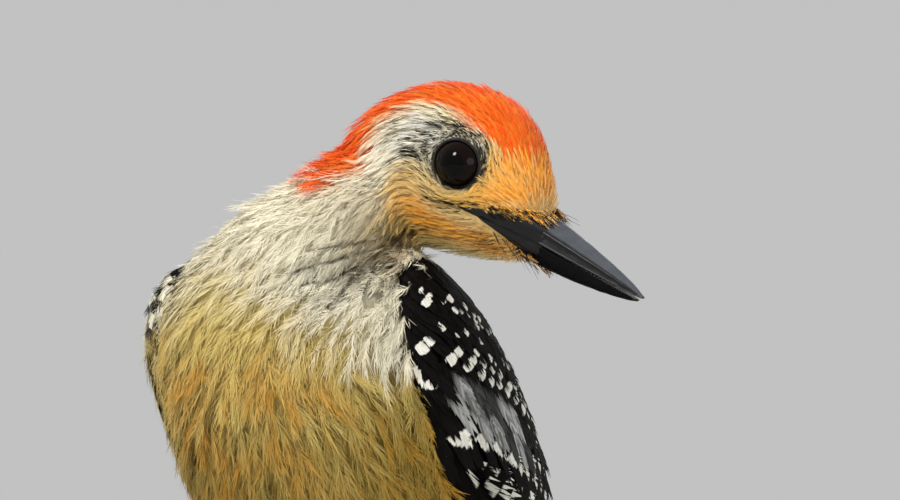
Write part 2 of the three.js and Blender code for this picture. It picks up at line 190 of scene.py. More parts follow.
STEPS_TO_KNOT = 24
KNOT_NAMES = ("bill", "eye", "nape", "neck", "shoulder", "breast", "belly", "vent", "tail")
NECK_MIDDLE = (trunk.out((36, 6, -1)) + head.out((-30, 0, -8))) / 2
line_knots = [head.out((14, 0, 0)), head.out((0, 0, 1.5)), head.out((-14, 0, 3)), head.out((-25, 0, 1.5)),
              NECK_MIDDLE, trunk.out((27, 1, 1)), trunk.out((8, 0, 0)), trunk.out((-20, 0, 0)),
              trunk.out((-45, 0, 1)), trunk.out((-66, 0, 2)), trunk.out((-100, 0, 4))]
axis_line = smooth_line(line_knots, STEPS_TO_KNOT)
axis_tail = unit(np.gradient(axis_line, axis=0))
axis_run = np.concatenate([[0], np.cumsum(np.linalg.norm(np.diff(axis_line, axis=0), axis=1))])
RUN = {name: float(axis_run[STEPS_TO_KNOT * knot]) for knot, name in enumerate(KNOT_NAMES, 1)}
axis_turn = fade(axis_run, RUN["eye"], RUN["shoulder"])[:, None]
axis_back = unit(head.rows[2] * (1 - axis_turn) + trunk.rows[2] * axis_turn)
axis_back = unit(axis_back - axis_tail * dot(axis_back, axis_tail))
print("along the axis, in mm:", {name: round(run, 1) for name, run in RUN.items()})

BATCH = 20000


def read_axis(points):
    """For each point: its run along the axis, the tailward direction, the angle from the back (plus to the
    left) and its distance from the axis."""
    run, angle, radius = (np.empty(len(points)) for _ in range(3))
    tailward = np.empty((len(points), 3))
    for first in range(0, len(points), BATCH):
        part = slice(first, first + BATCH)
        gaps = ((points[part, None] - axis_line[None]) ** 2).sum(axis=2)
        weight = np.exp(-(gaps - gaps.min(axis=1, keepdims=True)) / 30.0)
        weight /= weight.sum(axis=1, keepdims=True)
        run[part] = weight @ axis_run
        tailward[part] = unit(weight @ axis_tail)
        back = unit(weight @ axis_back)
        away = points[part] - weight @ axis_line
        away -= tailward[part] * dot(away, tailward[part])
        radius[part] = np.linalg.norm(away, axis=1)
        side = np.cross(back, -tailward[part])
        angle[part] = np.arctan2(np.sum(away * side, axis=1), np.sum(away * back, axis=1))
    return run, tailward, angle, radius


# %% [markdown]
# ## The skin
# Under the coat lies one closed skin for head, neck, trunk and thighs. The solids are parted by thin cuts,
# so they are grown a little until they overlap, fused by a voxel remesh, smoothed, and then drawn inwards
# by the depth of the coat. A boolean union would keep the creases between the parts; the remesh melts them.

# %% How deep the coat is
COAT_FACE, COAT_CROWN, COAT_NECK, COAT_BODY, COAT_LEG = 0.75, 1.15, 2.2, 3.0, 1.0


def coat_depth(points):
    """How far feather tips stand above the skin, in millimetres."""
    run, _, _, _ = read_axis(points)
    depth = COAT_FACE + (COAT_CROWN - COAT_FACE) * fade(run, RUN["bill"] + 4, RUN["eye"] + 4)
    depth += (COAT_NECK - COAT_CROWN) * fade(run, RUN["eye"] + 8, RUN["neck"])
    depth += (COAT_BODY - COAT_NECK) * fade(run, RUN["neck"], RUN["breast"])
    depth += (COAT_LEG + 0.6 - COAT_BODY) * fade(run, RUN["vent"] - 6, RUN["tail"])
    return depth + 1.1 * fade(run, RUN["bill"] + 4, RUN["bill"] - 1)


# %% Fuse solids into one form
def fused(nodes, grow, voxel, rounds):
    """The nodes as one smooth closed mesh. grow and voxel are in millimetres."""
    merged = bmesh.new()
    for node in nodes:
        merged.from_mesh(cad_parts[node].data)
    bmesh.ops.remove_doubles(merged, verts=merged.verts, dist=2e-6)
    merged.normal_update()
    for corner in merged.verts:
        corner.co += corner.normal * grow / MM
    mesh = bpy.data.meshes.new("fused")
    merged.to_mesh(mesh)
    merged.free()
    piece = placed("fused", mesh)
    remesh = piece.modifiers.new("fuse", "REMESH")
    remesh.mode, remesh.voxel_size = "VOXEL", voxel / MM
    soften = piece.modifiers.new("soften", "SMOOTH")
    soften.factor, soften.iterations = 0.5, rounds
    bpy.context.view_layer.update()
    done = bpy.data.meshes.new_from_object(piece.evaluated_get(bpy.context.evaluated_depsgraph_get()))
    bpy.data.objects.remove(piece)
    bpy.data.meshes.remove(mesh)
    points, normals = rows_of(done.vertices, "co") * MM, rows_of(done.vertex_normals, "vector")
    faces = np.array([tuple(face.vertices) for face in done.polygons])
    bpy.data.meshes.remove(done)
    return points, normals, faces


FLESH = ("head", "neck", "trunk", "thigh_left", "thigh_right")
hide_points, hide_normals, hide_faces = fused(FLESH, grow=0.35, voxel=0.85, rounds=8)
skin_points = hide_points - hide_normals * coat_depth(hide_points)[:, None]
print("skin:", len(skin_points), "points,", len(hide_faces), "faces")


# %% [markdown]
# Feathers have to find the surface they lie on again and again. A bounding tree answers that quickly, and
# a second one holds the wings too, because feathers of the shoulder run out over the wing's front edge.

# %% Surfaces that feathers can follow
class Surface:
    """A surface that gives the nearest place on it, with the smooth normal there and the coat's depth."""

    def __init__(self, points, faces, depth=None):
        self.points, self.faces = points, faces
        self.face_depth = np.zeros(len(faces)) if depth is None else depth[faces].mean(axis=1)
        a, b, c, d = (points[faces[:, corner]] for corner in range(4))
        normals = np.cross(c - a, d - b)
        summed = np.zeros_like(points)
        for corner in range(4):
            np.add.at(summed, faces[:, corner], normals)
        self.normals = unit(summed)
        self.face_normals = unit(self.normals[faces].mean(axis=1))
        self.areas = np.linalg.norm(normals, axis=1) / 2
        self.tree = BVHTree.FromPolygons(points.tolist(), faces.tolist())

    def nearest(self, points):
        """The nearest places on the surface, the normals there and the depth of the coat."""
        places, normals = np.empty((len(points), 3)), np.empty((len(points), 3))
        depths = np.empty(len(points))
        for number, point in enumerate(points.tolist()):
            place, _, face, _ = self.tree.find_nearest(point)
            places[number] = place
            normals[number] = self.face_normals[face]
            depths[number] = self.face_depth[face]
        return places, normals, depths

    def scattered(self, count, weights, rng):
        """Random places, more of them on faces with a high weight."""
        share = self.areas * weights
        picks = rng.choice(len(self.faces), count, p=share / share.sum())
        a, b, c, d = (self.points[self.faces[picks, corner]] for corner in range(4))
        s, t = rng.random((count, 1)), rng.random((count, 1))
        return a * (1 - s) * (1 - t) + b * s * (1 - t) + c * s * t + d * (1 - s) * t, self.face_normals[picks]


skin = Surface(skin_points, hide_faces)
wing_forms = {}
for side in ("left", "right"):
    wing_forms[side] = fused((f"wing_{side}", f"primaries_{side}"), grow=0.2, voxel=0.8, rounds=4)
    print("wing form", side, len(wing_forms[side][0]))

CORE_INSET, CORE_SHARE = 1.0, 0.3


def inset_form(points, normals, faces):
    """The form drawn inwards, less where it is thin."""
    tree = BVHTree.FromPolygons(points.tolist(), faces.tolist())
    inset = np.empty(len(points))
    for number, (point, normal) in enumerate(zip(points, normals)):
        start = Vector(point - normal * 0.05)
        hit = tree.ray_cast(start, Vector(-normal), 40.0)
        inset[number] = min(CORE_INSET, CORE_SHARE * (hit[3] if hit[0] is not None else 0.5))
    return points - normals * inset[:, None]


wing_outer = {side: Surface(points, faces) for side, (points, _, faces) in wing_forms.items()}
core = {side: inset_form(*wing_forms[side]) for side in wing_forms}
hull_points, hull_normals, hull_faces = fused(
    FLESH + ("wing_left", "wing_right", "primaries_left", "primaries_right"), grow=0.35, voxel=0.9, rounds=6)
OVER_WING = 0.9
hull_depth = coat_depth(hull_points)
for surface in wing_outer.values():
    gap = np.linalg.norm(surface.nearest(hull_points)[0] - hull_points, axis=1)
    hull_depth = OVER_WING + (hull_depth - OVER_WING) * fade(gap, 0.8, 5.0)
body_surface = Surface(hull_points - hull_normals * hull_depth[:, None], hull_faces, hull_depth)
print("surfaces ready")

# %% [markdown]
# ## Which way feathers lie
# Feathers point to the tail, start outwards from the base of the bill, and part round each eye like water
# round a stone. The formula for water round a post does exactly that, so it is used for the eyes. On top
# comes slow noise that turns neighbours together: that is what makes a coat clump and part by itself.

# %% The lie of the coat
EYE_PARTING, EYE_LOOK = 4.5, (0.85, 0.0, 0.08)


def drift(points, scale, seed):
    """Smooth noise of about -1 to 1 that changes over `scale` millimetres."""
    shift = Vector((seed * 17.3, seed * -9.1, seed * 5.7))
    return np.array([noise.noise(Vector(point) / scale + shift) for point in points.tolist()]) * 1.6


def beside_eye(local, side):
    """Distance from an eye's axis in the head's side view, and the direction away from it."""
    away = local - np.array(EYE_MIDDLE) - np.array(EYE_LOOK)
    away[:, 1] = 0
    reach = np.linalg.norm(away, axis=1)
    reach = np.where(local[:, 1] * side > 2, reach, 99.0)
    return reach, away / np.maximum(np.linalg.norm(away, axis=1, keepdims=True), 1e-6)


def from_eyes(local):
    """Distance from the axis of the nearer eye."""
    return np.minimum(beside_eye(local, 1)[0], beside_eye(local, -1)[0])

def flow_at(points, normals):
    """The direction in which a feather at each point lies, along the surface."""
    run, tailward, _, _ = read_axis(points)
    local = head.into(points)
    from_bill = unit(points - head.out((4.5, 0, 1)))
    front = (1 - fade(run, RUN["bill"] - 2, RUN["eye"] - 2))[:, None]
    flow = unit(tailward + 1.3 * from_bill * front)
    for side in (1, -1):
        reach, away = beside_eye(local, side)
        outward = head.turned(away)
        along = dot(flow, outward)
        push = np.minimum(EYE_PARTING**2 / reach**2, 1.0)[:, None]
        flow = flow - push * (2 * along * outward - flow) + 0.25 * push**2 * outward
    flow -= normals * dot(flow, normals)
    return unit(flow)


def turn_about(vectors, axes, angles):
    """Each vector turned about its own axis, in radians."""
    cos, sin = np.cos(angles)[:, None], np.sin(angles)[:, None]
    along = dot(vectors, axes)
    return vectors * cos + np.cross(axes, vectors) * sin + axes * along * (1 - cos)


# %% [markdown]
# ## Planting the roots
# Roots must be evenly spread without standing in rows. Random points thinned to a least distance do that.
# The distance grows from the face to the breast, as the feathers do.

# %% Thin random points to a least distance
def near_tree(points):
    """A tree that finds the points near any place."""
    tree = KDTree(len(points))
    for number, point in enumerate(points.tolist()):
        tree.insert(point, number)
    tree.balance()
    return tree


def thinned(points, spacing, rng):
    """The numbers of points that stay when each keeps its own spacing clear."""
    tree = near_tree(points)
    free = np.ones(len(points), bool)
    kept = []
    for number in rng.permutation(len(points)).tolist():
        if free[number]:
            kept.append(number)
            for _, other, _ in tree.find_range(points[number].tolist(), float(spacing[number])):
                free[other] = False
    return np.array(sorted(kept))


# %% [markdown]
# ## Markings
# The coat and the skin below it must carry the same markings, so one function gives them for any point.
# They are soft fields placed on the head and the trunk: the red crown and nape, the amber round the bill,
# the white cheek and brow, the black flecks round the eye and behind the gape, the gilded breast, the black
# and white bars of the back. Most of a field is a few soft spots, and those stand in the tables below.

# %% Markings of the bird
CREASES = [[(34.6, 23.7, 5.0), (38.6, 20.9, -0.2), (39.6, 18.3, -2.8), (41.1, 14.0, -6.0)],
           [(34.8, 23.3, 3.5), (37.3, 19.5, -2.4), (38.3, 16.2, -6.0), (38.9, 13.3, -7.8), (38.9, 9.7, -9.9)],
           [(34.6, 22.4, 1.9), (34.3, 20.1, -1.8), (35.0, 18.1, -4.8), (35.4, 15.9, -7.3),
            (36.3, 11.4, -10.3)],
           [(33.2, 22.8, 1.3), (32.2, 20.9, -1.2), (31.7, 20.6, -4.4), (30.4, 20.9, -6.7)],
           [(33.5, 19.7, -2.7), (32.9, 17.7, -7.9), (32.8, 15.9, -10.7)]]
CREASE_HALF, FOLD_DEPTH, FAR_FROM_FOLD = 0.62, 1.5, 4.0


def crease_gaps(points, outward):
    """For each point, the signed distance to each of the folds that fan out from the throat of a bird that
    looks over its side, in half widths of the fold. The sign lets a shader find the line between two
    corners. Beyond the ends of a fold it is large."""
    place, out = trunk.into(points), outward @ trunk.rows.T
    gaps = np.full((len(points), len(CREASES)), FAR_FROM_FOLD)
    for number, line in enumerate(CREASES):
        path = smooth_line(line, 9)
        ahead = unit(np.gradient(path, axis=0))
        gap = place[:, None] - path[None]
        gap -= 0.9 * out[:, None] * dot(gap, out[:, None])
        reach = np.linalg.norm(gap, axis=2)
        nearest = reach.argmin(axis=1)
        rows = np.arange(len(points))
        gap, reach, ahead = gap[rows, nearest], reach[rows, nearest], ahead[nearest]
        side = np.sign(np.sum(np.cross(ahead, out) * gap, axis=1))
        beyond = np.abs(np.sum(ahead * gap, axis=1)) > 0.6
        half = CREASE_HALF * (1.25 - 0.75 * nearest / len(path))
        gaps[:, number] = np.where(beyond, FAR_FROM_FOLD,
                                   np.clip(side * reach / half, -FAR_FROM_FOLD, FAR_FROM_FOLD))
    return gaps


def creased(points, outward):
    """1 in the folds and 0 between them: where painted shade darkens the creases."""
    return np.exp(-crease_gaps(points, outward) ** 2).max(axis=1)


BAR_PERIOD = 5.2
HEAD_SPOTS = {  # for each field: share, centre and radii of its soft spots, in the head's axes
    "brow": [(1.0, (-17.2, 10.0, 12.6), (6.8, 3.6, 2.9))],
    "amber": [(1.0, (-1.5, 0, 9), (5.5, 6.5, 4.5)), (0.9, (-5, 4.5, 9.5), (4, 4.5, 3.5)),
              (0.8, (-3.5, 6.5, 4.5), (4.2, 4, 2.4)), (0.95, (-5, 7, -3.2), (4.5, 4, 2.2)),
              (1.0, (-12, 9.5, -4.2), (4.5, 4, 2.6)), (0.8, (0, 2, -3.5), (5, 5, 2.5)),
              (0.6, (-17, 11, -2.6), (3.5, 4, 2))],
    "gold": [(0.9, (-7, 8, 5.5), (4.5, 5, 3.6)), (0.85, (-9, 10, 2), (6, 5, 2.2)),
             (0.8, (-19, 12, 0.2), (3.6, 5, 3)), (0.6, (-14, 8, -8), (8, 7, 5))],
    "grey": [(0.9, (-19.5, 11, -7.5), (6, 7, 3.6))],
    "fleck": [(0.36, (-23, 11.5, 9.6), (3, 5, 1.7)), (0.50, (-27.4, 11, 10.6), (2.4, 5, 1.5)),
              (0.28, (-16, 9.5, 12.8), (4.8, 5, 1.5)), (0.16, (-20, 11.8, 6), (2.8, 5, 3.4)),
              (0.30, (-8.6, 9, 8.2), (2.6, 4, 4)), (0.45, (-9, 10.4, 1.4), (4.5, 4, 1.1)),
              (0.16, (-3, 4, 7), (4, 4, 5)), (0.22, (-8, 8.5, -4), (8, 5, 3))],
    "gape": [  # the black line behind the gape, which joins the flecks
             (0.9, (-12.3, 11, -0.1), (1.8, 4, 0.55)), (0.9, (-9.2, 10, 0.9), (2.2, 4, 0.8)),
             (0.5, (-5.5, 8.5, 2.6), (3.5, 4, 0.7)), (0.75, (-2.5, 6, -2.6), (3.2, 4, 1.4))],
    "streak": [(0.38, (-24.5, 12.8, 1), (3.5, 5, 1.8)), (0.50, (-18, 10, -8), (7, 7, 4))],
    "ash": [(0.8, (-22, 11, 10.5), (7.5, 6, 3.4))],
    "olive": [(0.60, (-9, 8.5, -5.5), (9, 5, 3.2)), (0.55, (-19, 11, -6.5), (7, 7, 4)),
              (0.35, (-27, 8, -7), (8, 9, 7))],
    "white": [(0.7, (-20, 11.5, 6.5), (6, 6, 4.5)), (0.9, (-28.5, 13, 1.5), (7, 7, 6)),
              (0.5, (-10.8, 8.2, 11.8), (2.2, 3, 2.6))],
}
TRUNK_SPOTS = {  # the same in the trunk's axes
    "gilt": [(0.9, (30.5, 5, -18.5), (4.5, 5, 5)), (0.6, (26.5, 14, -17), (4, 8, 6)),
             (0.5, (16, 8, -24), (6, 9, 7))],
    "pale": [(0.7, (14, 14, -22), (3, 9, 8))],
    "throat": [(1.0, (32, 20.5, -3), (6, 6, 6))],
    "olive": [(-0.30, (15, 20, -10), (6, 6, 8))],
    "blush": [(1.0, (-26, 0, -24), (11, 8, 9))],
    "white": [(0.8, (31, -22, -8), (12, 12, 9)), (0.6, (37, -13, -8), (6, 9, 9)),
              (-0.4, (24, 20, -6), (7, 6, 7))],
}


def spotted_with(local, spots):
    """Soft spots added up, each 1 at its centre and fading to 0 over its radii. A spot whose centre lies to
    the left is there on both sides of the bird."""
    total = np.zeros(len(local))
    for share, centre, radii in spots:
        place = local.copy()
        if centre[1] > 0:
            place[:, 1] = np.abs(place[:, 1])
        total += share * np.exp(-(((place - np.array(centre)) / np.array(radii)) ** 2).sum(axis=1))
    return total


def crown_and_nape(run, angle, radius, ahead, wobble):
    """The red, which runs back from the forehead, and the rust along its edge. On the twisted neck the
    middle of the red lies towards the right side."""
    middle = -np.radians(np.interp(run, [43, 47, 52, 58], [0, 12, 30, 52]))
    half = np.interp(run, [20.0, 21.5, 24.5, 28.0, 33.0, 39.0, 47.0, 52.0, 57.0],
                     [2.0, 6.0, 8.2, 9.9, 9.9, 8.4, 8.3, 10.4, 13.0])
    arc = np.abs(angle - middle) * radius + 0.9 * wobble
    red = fade(half - arc, -1.1, 1.1) * fade(ahead, -3.0, -7.0)
    red *= 1 - fade(run + 1.2 * wobble, RUN["neck"] - 7.0, RUN["neck"] - 3.5)
    rust = fade(half + 1.6 - arc, -1.2, 1.2) * fade(run, 30, 44) * (1 - fade(run, 50, 54)) * 0.8
    return red, rust


def flecks_by_eye(face, eye_reach):
    """The black flecks above and behind the eye."""
    above_eye = fade(face[:, 2] - EYE_MIDDLE[2], -3.0, 1.5)
    behind_eye = fade(EYE_MIDDLE[0] - face[:, 0], -1.5, 2.0)
    fleck = 0.48 * (1 - fade(eye_reach, 5.0, 8.4)) * np.maximum(above_eye, behind_eye)
    near_eye = 1 - fade(eye_reach, 4.8, 6.8)
    fleck += near_eye * (0.34 * np.maximum(above_eye, behind_eye) + 0.26 * above_eye * behind_eye)
    return fleck * (1 - 0.62 * fade(face[:, 0] - EYE_MIDDLE[0], 0.5, 4.0))


def markings(points, tops):
    """Fields from 0 to 1 for each point, by name. tops are the points at the coat's surface."""
    run, _, angle, radius = read_axis(points)
    face, body = head.into(points), trunk.into(points)
    on_head = 1 - fade(run, RUN["nape"] + 4, RUN["neck"] + 2)
    on_trunk = fade(run, RUN["neck"] + 4, RUN["shoulder"] + 4)
    wobble = drift(points, 2.2, 3)
    eye_reach = from_eyes(face)
    head_spots = {field: spotted_with(face, spots) for field, spots in HEAD_SPOTS.items()}
    trunk_spots = {field: on_trunk * spotted_with(body, spots) for field, spots in TRUNK_SPOTS.items()}

    red, rust = crown_and_nape(run, angle, radius, face[:, 0], wobble)
    red, rust = red * (1 - head_spots["brow"]), rust * (1 - head_spots["brow"])
    fleck = flecks_by_eye(face, eye_reach) + head_spots["fleck"]
    fleck = fleck * (1 - 0.8 * np.clip(red + rust, 0, 1)) + head_spots["gape"]
    rim = 1 - fade(eye_reach, 4.1, 4.5)
    socket = 0.7 * (1 - fade(eye_reach, 4.6, 5.4))

    under = fade(-body[:, 2], -2, 10) * on_trunk
    flank = on_trunk * fade(body[:, 1], 13, 19) * fade(body[:, 0] + 2 * wobble, 29, 13)
    gilt = under * (0.30 + 0.75 * drift(points, 4.0, 11)) * fade(body[:, 0], 38, 26) + trunk_spots["gilt"]
    gilt *= 1 - trunk_spots["pale"]
    olive = under * fade(body[:, 0], 31, 12) * (0.85 + 0.45 * drift(points, 6.0, 23))
    olive += head_spots["olive"] + 0.18 * on_trunk * (1 - under)
    olive += 0.8 * trunk_spots["throat"] + trunk_spots["olive"] + 0.55 * flank

    back = fade(np.abs(angle), math.radians(78), math.radians(56)) * on_trunk
    bars = back * fade(body[:, 0] + 2 * wobble, 29, 25) * fade(body[:, 0], -44, -36)
    shoulder = fade(body[:, 2], -3.0, -0.5) * fade(body[:, 1], -8, -11) * fade(body[:, 0] + wobble, 40, 38)
    bars = np.maximum(bars, shoulder * fade(body[:, 0], 20, 24) * on_trunk)
    vent = fade(body[:, 0], -34, -46) * fade(np.abs(angle), math.radians(70), math.radians(110))
    white = on_head * 0.35 + fade(run, RUN["nape"], RUN["neck"]) * (1 - under) * (1 - bars)
    white -= 0.70 * fade(body[:, 2], 5, -7) * on_trunk
    white -= 0.45 * on_trunk * fade(body[:, 1], 0, 9) * fade(body[:, 0], 41, 36)
    white += head_spots["white"] + trunk_spots["white"] - 0.7 * trunk_spots["throat"] - 0.8 * flank
    # How far each root darkens: the grey of real down, and painted shade where the coat parts.
    down = 0.30 + 0.40 * fade(run, RUN["nape"], RUN["shoulder"])
    # One of the fields is the painted shade along the creases of the throat.
    fields = dict(red=red, rust=rust * on_head, amber=head_spots["amber"], gold=head_spots["gold"],
                  grey=head_spots["grey"] * on_head, fleck=fleck * on_head,
                  streak=head_spots["streak"] * on_head, ash=head_spots["ash"] * on_head, gilt=gilt,
                  olive=olive, blush=trunk_spots["blush"], bars=bars, vent=vent * on_trunk, white=white,
                  down=down, rim=rim * on_head, socket=socket, fold_shade=creased(points, unit(tops - points)))
    fields = {name: np.clip(field, 0, 1) for name, field in fields.items()}
    return dict(fields, ladder=run / BAR_PERIOD)


print("markings:", ", ".join(markings(skin_points[:50], hide_points[:50])))


# %% [markdown]
# ## One feather
# A feather is a shaft with two rows of barbs. Here every barb is a tapering ribbon of a few joints, and the
# shaft is a parabola through three points laid on the surface. Particle hair would be quicker to set up,
# yet it is lost on export and has no vane. Making all feathers of a kind at once with arrays keeps the
# hundreds of thousands of barbs to a few seconds. Down looks soft because light passes from barb to barb,
# so each corner is shaded partly as the skin below it faces, and only partly as its own ribbon faces.

# %% Lay shafts on a surface
SHAFT_STEPS, ROOT_SUNK = 4, 0.25


def laid(roots, normals, length, rise, surface, ruffle):
    """Points and normals at the root, middle and tip of each feather's shaft. rise is a share of the depth
    of the coat."""
    place, normal = roots, normals
    points, facings = [place - normal * ROOT_SUNK], [normal]
    for step in range(1, SHAFT_STEPS + 1):
        flow = turn_about(flow_at(place, normal), normal, ruffle)
        place, normal, depth = surface.nearest(place + flow * (length / SHAFT_STEPS)[:, None])
        if step % 2 == 0:
            share = step / SHAFT_STEPS
            points.append(place + normal * (depth * rise * share**1.2)[:, None])
            facings.append(normal)
    return np.stack(points, axis=1), np.stack(facings, axis=1)


# %% Grow barbs along shafts
def barbed(points, facings, style, reach, width, roll, rng):
    """Ribbons for all barbs. Gives corner points, triangles, and for each corner the direction it faces for
    shading, its feather's number, how far along the feather it is, how far across the vane, and a number
    from 0 to 1 of its barb."""
    count, rows = len(points), style["barbs"]
    p0, p1, p2 = points[:, 0], points[:, 1], points[:, 2]
    speed0, bend = -3 * p0 + 4 * p1 - p2, 2 * p0 - 4 * p1 + 2 * p2
    length = np.linalg.norm(p2 - p0, axis=1)

    seat = (np.arange(rows) + rng.uniform(0.1, 0.9, (count, 2, rows))) / rows
    seat = style["first"] + (style["last"] - style["first"]) * seat
    lean = np.radians(style["lean"][0] + (style["lean"][1] - style["lean"][0]) * seat**style["swing"])
    lean = lean * (1 + style["stray"] * rng.normal(0, 0.5, seat.shape))
    barb = reach[:, None, None] * (1 - style["shrink"] * np.abs(2 * seat - 1.05)**2)
    barb = barb * (1 + style["stray"] * rng.uniform(-1, 0.6, seat.shape))

    q = np.array(style["steps"])
    last = len(q) - 1
    curl = style["curl"] * (1 + rng.normal(0, 0.5, seat.shape))[..., None]
    aside = barb[..., None] * np.sin(lean)[..., None] * (q - curl * q**2)
    forward = barb[..., None] * np.cos(lean)[..., None] * (q + 0.12 * q**2) / 1.12
    place = seat[..., None] + forward / length[:, None, None, None]
    near, far = np.minimum(place, 1.0), np.maximum(place - 1.0, 0.0)

    def each(array):
        return array[:, None, None, None, :]

    near_, far_ = near[..., None], far[..., None]
    shaft = each(p0) + each(speed0) * near_ + each(bend) * near_**2 + each(speed0 + 2 * bend) * far_
    ahead = unit(each(speed0) + 2 * each(bend) * near_)
    outward = unit(each(facings[:, 0]) * (1 - near_) + each(facings[:, 2]) * near_)
    facing = unit(outward - ahead * dot(outward, ahead))
    across = np.cross(facing, ahead)
    turned = roll[:, None, None, None, None]
    across, facing = (across * np.cos(turned) + facing * np.sin(turned),
                      facing * np.cos(turned) - across * np.sin(turned))
    hand = np.array([1.0, -1.0])[None, :, None, None, None]
    lift = style["fray"] * rng.normal(0, 1, seat.shape)[..., None] * q**1.5
    lift = lift - style["cup"] * aside**2
    middle = shaft + hand * across * aside[..., None] + facing * lift[..., None]

    along = unit(np.gradient(middle, axis=3))
    twist = rng.uniform(-1, 1, seat.shape)[..., None, None] * style["twist"]
    edge = unit(np.cross(facing, along))
    edge = edge * np.cos(twist) + facing * np.sin(twist)
    shown = unit(style["soft"] * outward + (1 - style["soft"]) * np.cross(along, edge))
    half = width[:, None, None, None] * np.array(style["taper"]) / 2
    left_row = middle + edge * half[..., None]
    right_row = middle - edge * half[..., None]

    corners = np.concatenate([left_row[..., :last, :], right_row[..., :last, :], middle[..., last:, :]],
                             axis=3)
    each_barb = 2 * last + 1
    pattern = [[last - 1, 2 * last - 1, 2 * last]]
    for step in range(last - 1):
        pattern += [[step, last + step, last + step + 1], [step, last + step + 1, step + 1]]
    faces = (np.arange(count * 2 * rows)[:, None, None] * each_barb + np.array(pattern)[None]).reshape(-1, 3)
    take = list(range(last)) * 2 + [last]
    shown = shown[..., take, :].reshape(-1, 3)
    along_share = place[..., take].reshape(-1)
    vane = (hand[..., 0] * aside / reach[:, None, None, None])[..., take].reshape(-1)
    owner = np.repeat(np.arange(count), 2 * rows * each_barb)
    strand = np.repeat(rng.random(count * 2 * rows), each_barb)
    return corners.reshape(-1, 3), faces, shown, owner, along_share, vane, strand


# %% [markdown]
# A piece is one mesh of many feathers. Each corner carries the fields of its feather's root and its own
# place on the feather, for the shader. Each feather also gets a small patch of a flat map, at its root's
# place on the unrolled skin, so that colours can be baked without one feather taking another's.

# %% Make pieces
def to_piece(name, points, faces, finish, layers=None, flat_map=None, shown=None):
    """A mesh piece from points in millimetres and rows of corner numbers. shown gives the directions that
    its corners face for shading."""
    mesh = bpy.data.meshes.new(name)
    sides = faces.shape[1]
    mesh.vertices.add(len(points))
    mesh.vertices.foreach_set("co", (points / MM).astype(np.float32).ravel())
    mesh.loops.add(faces.size)
    mesh.loops.foreach_set("vertex_index", faces.astype(np.int32).ravel())
    mesh.polygons.add(len(faces))
    mesh.polygons.foreach_set("loop_start", np.arange(0, faces.size, sides, dtype=np.int32))
    mesh.update(calc_edges=True)
    mesh.shade_smooth()
    for layer, values in (layers or {}).items():
        mesh.attributes.new(layer, "FLOAT", "POINT").data.foreach_set("value", values.astype(np.float32))
    if flat_map is not None:
        uv = mesh.uv_layers.new(name="OFBake")
        uv.data.foreach_set("uv", flat_map[faces.ravel()].astype(np.float32).ravel())
    if shown is not None:
        mesh.normals_split_custom_set_from_vertices(shown.tolist())
    piece = placed(name, mesh)
    mesh.materials.append(finish)
    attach(piece, "root")
    return piece
def grid_faces(rows, around, closed=True):
    """Faces with four corners between rows of corners. Each row closes to a ring, or stays open."""
    row, step = np.meshgrid(np.arange(rows - 1), np.arange(around if closed else around - 1), indexing="ij")
    after = (step + 1) % around
    return np.stack([row * around + step, row * around + after, (row + 1) * around + after,
                     (row + 1) * around + step], axis=-1).reshape(-1, 4)


PATCH = 0.003
MOST_TRIANGLES = 195000


def unrolled(points):
    """Each point's place on the unrolled skin: round the axis and along it, from 0 to 1."""
    run, _, angle, _ = read_axis(points)
    return np.stack([0.5 + angle / (2 * math.pi), run / axis_run[-1]], axis=1)


def coat_piece(name, parts, roots, fields, finish, more=None):
    """One piece of coat from the output of barbed(), with its layers and its flat map. more holds layers
    that have a value for each corner."""
    points, faces, shown, owner, along, vane, strand = parts
    layers = {field: values[owner] for field, values in fields.items()}
    layers.update(more or {}, along=along, vane=vane, strand=strand)
    place = unrolled(roots)
    low, high = place.min(axis=0), place.max(axis=0)
    place = 0.01 + 0.98 * (place - low) / np.maximum(high - low, 1e-6)
    own = np.stack([vane, along - 0.5], axis=1).clip(-0.5, 0.5) * PATCH
    if len(faces) > MOST_TRIANGLES:
        raise ValueError(f"{name} has {len(faces)} triangles")
    print(f"{name}: {len(roots)} feathers, {len(faces)} triangles")
    return to_piece(name, points, faces, finish, layers, place[owner] + own, shown)


# %% [markdown]
# ## Shader maths as plain maths
# Plumage colours are sums and products of the fields above. Wiring dozens of Math nodes by hand hides what
# they say, so one small class wraps a socket and lets Python's own operators add the nodes. Colours go
# through Mix nodes, since a Math node would turn a colour grey.

# %% A socket that can be added, multiplied and mixed
class Tone:
    """A value or colour of a material, with the maths that feathers, bark and horn need."""

    def __init__(self, finish, socket):
        self.finish, self.socket = finish, socket

    def maths(self, operation, first, second, clamp=False):
        return self.finish.node("Math", {"operation": operation, "use_clamp": clamp}, {0: first, 1: second})

    def __add__(self, other):
        return self.maths("ADD", self, other)

    def __sub__(self, other):
        return self.maths("SUBTRACT", self, other)

    def __rsub__(self, other):
        return self.maths("SUBTRACT", other, self)

    def __mul__(self, other):
        return self.maths("MULTIPLY", self, other)

    def __truediv__(self, other):
        return self.maths("DIVIDE", self, other)

    def __gt__(self, other):
        return self.maths("GREATER_THAN", self, other)

    __radd__, __rmul__ = __add__, __mul__

    def clamped(self):
        return self.maths("ADD", self, 0.0, clamp=True)

    def remainder(self):
        return self.maths("FRACT", self, 0.0)

    def size(self):
        return self.maths("ABSOLUTE", self, 0.0)

    def rising(self, low, high):
        """0 below low, 1 above high, smooth between. low may be the larger."""
        flip = low > high
        low, high = min(low, high), max(low, high)
        step = self.finish.node("MapRange", {"interpolation_type": "SMOOTHSTEP"},
                                {"Value": self, "From Min": low, "From Max": high})
        return 1 - step if flip else step


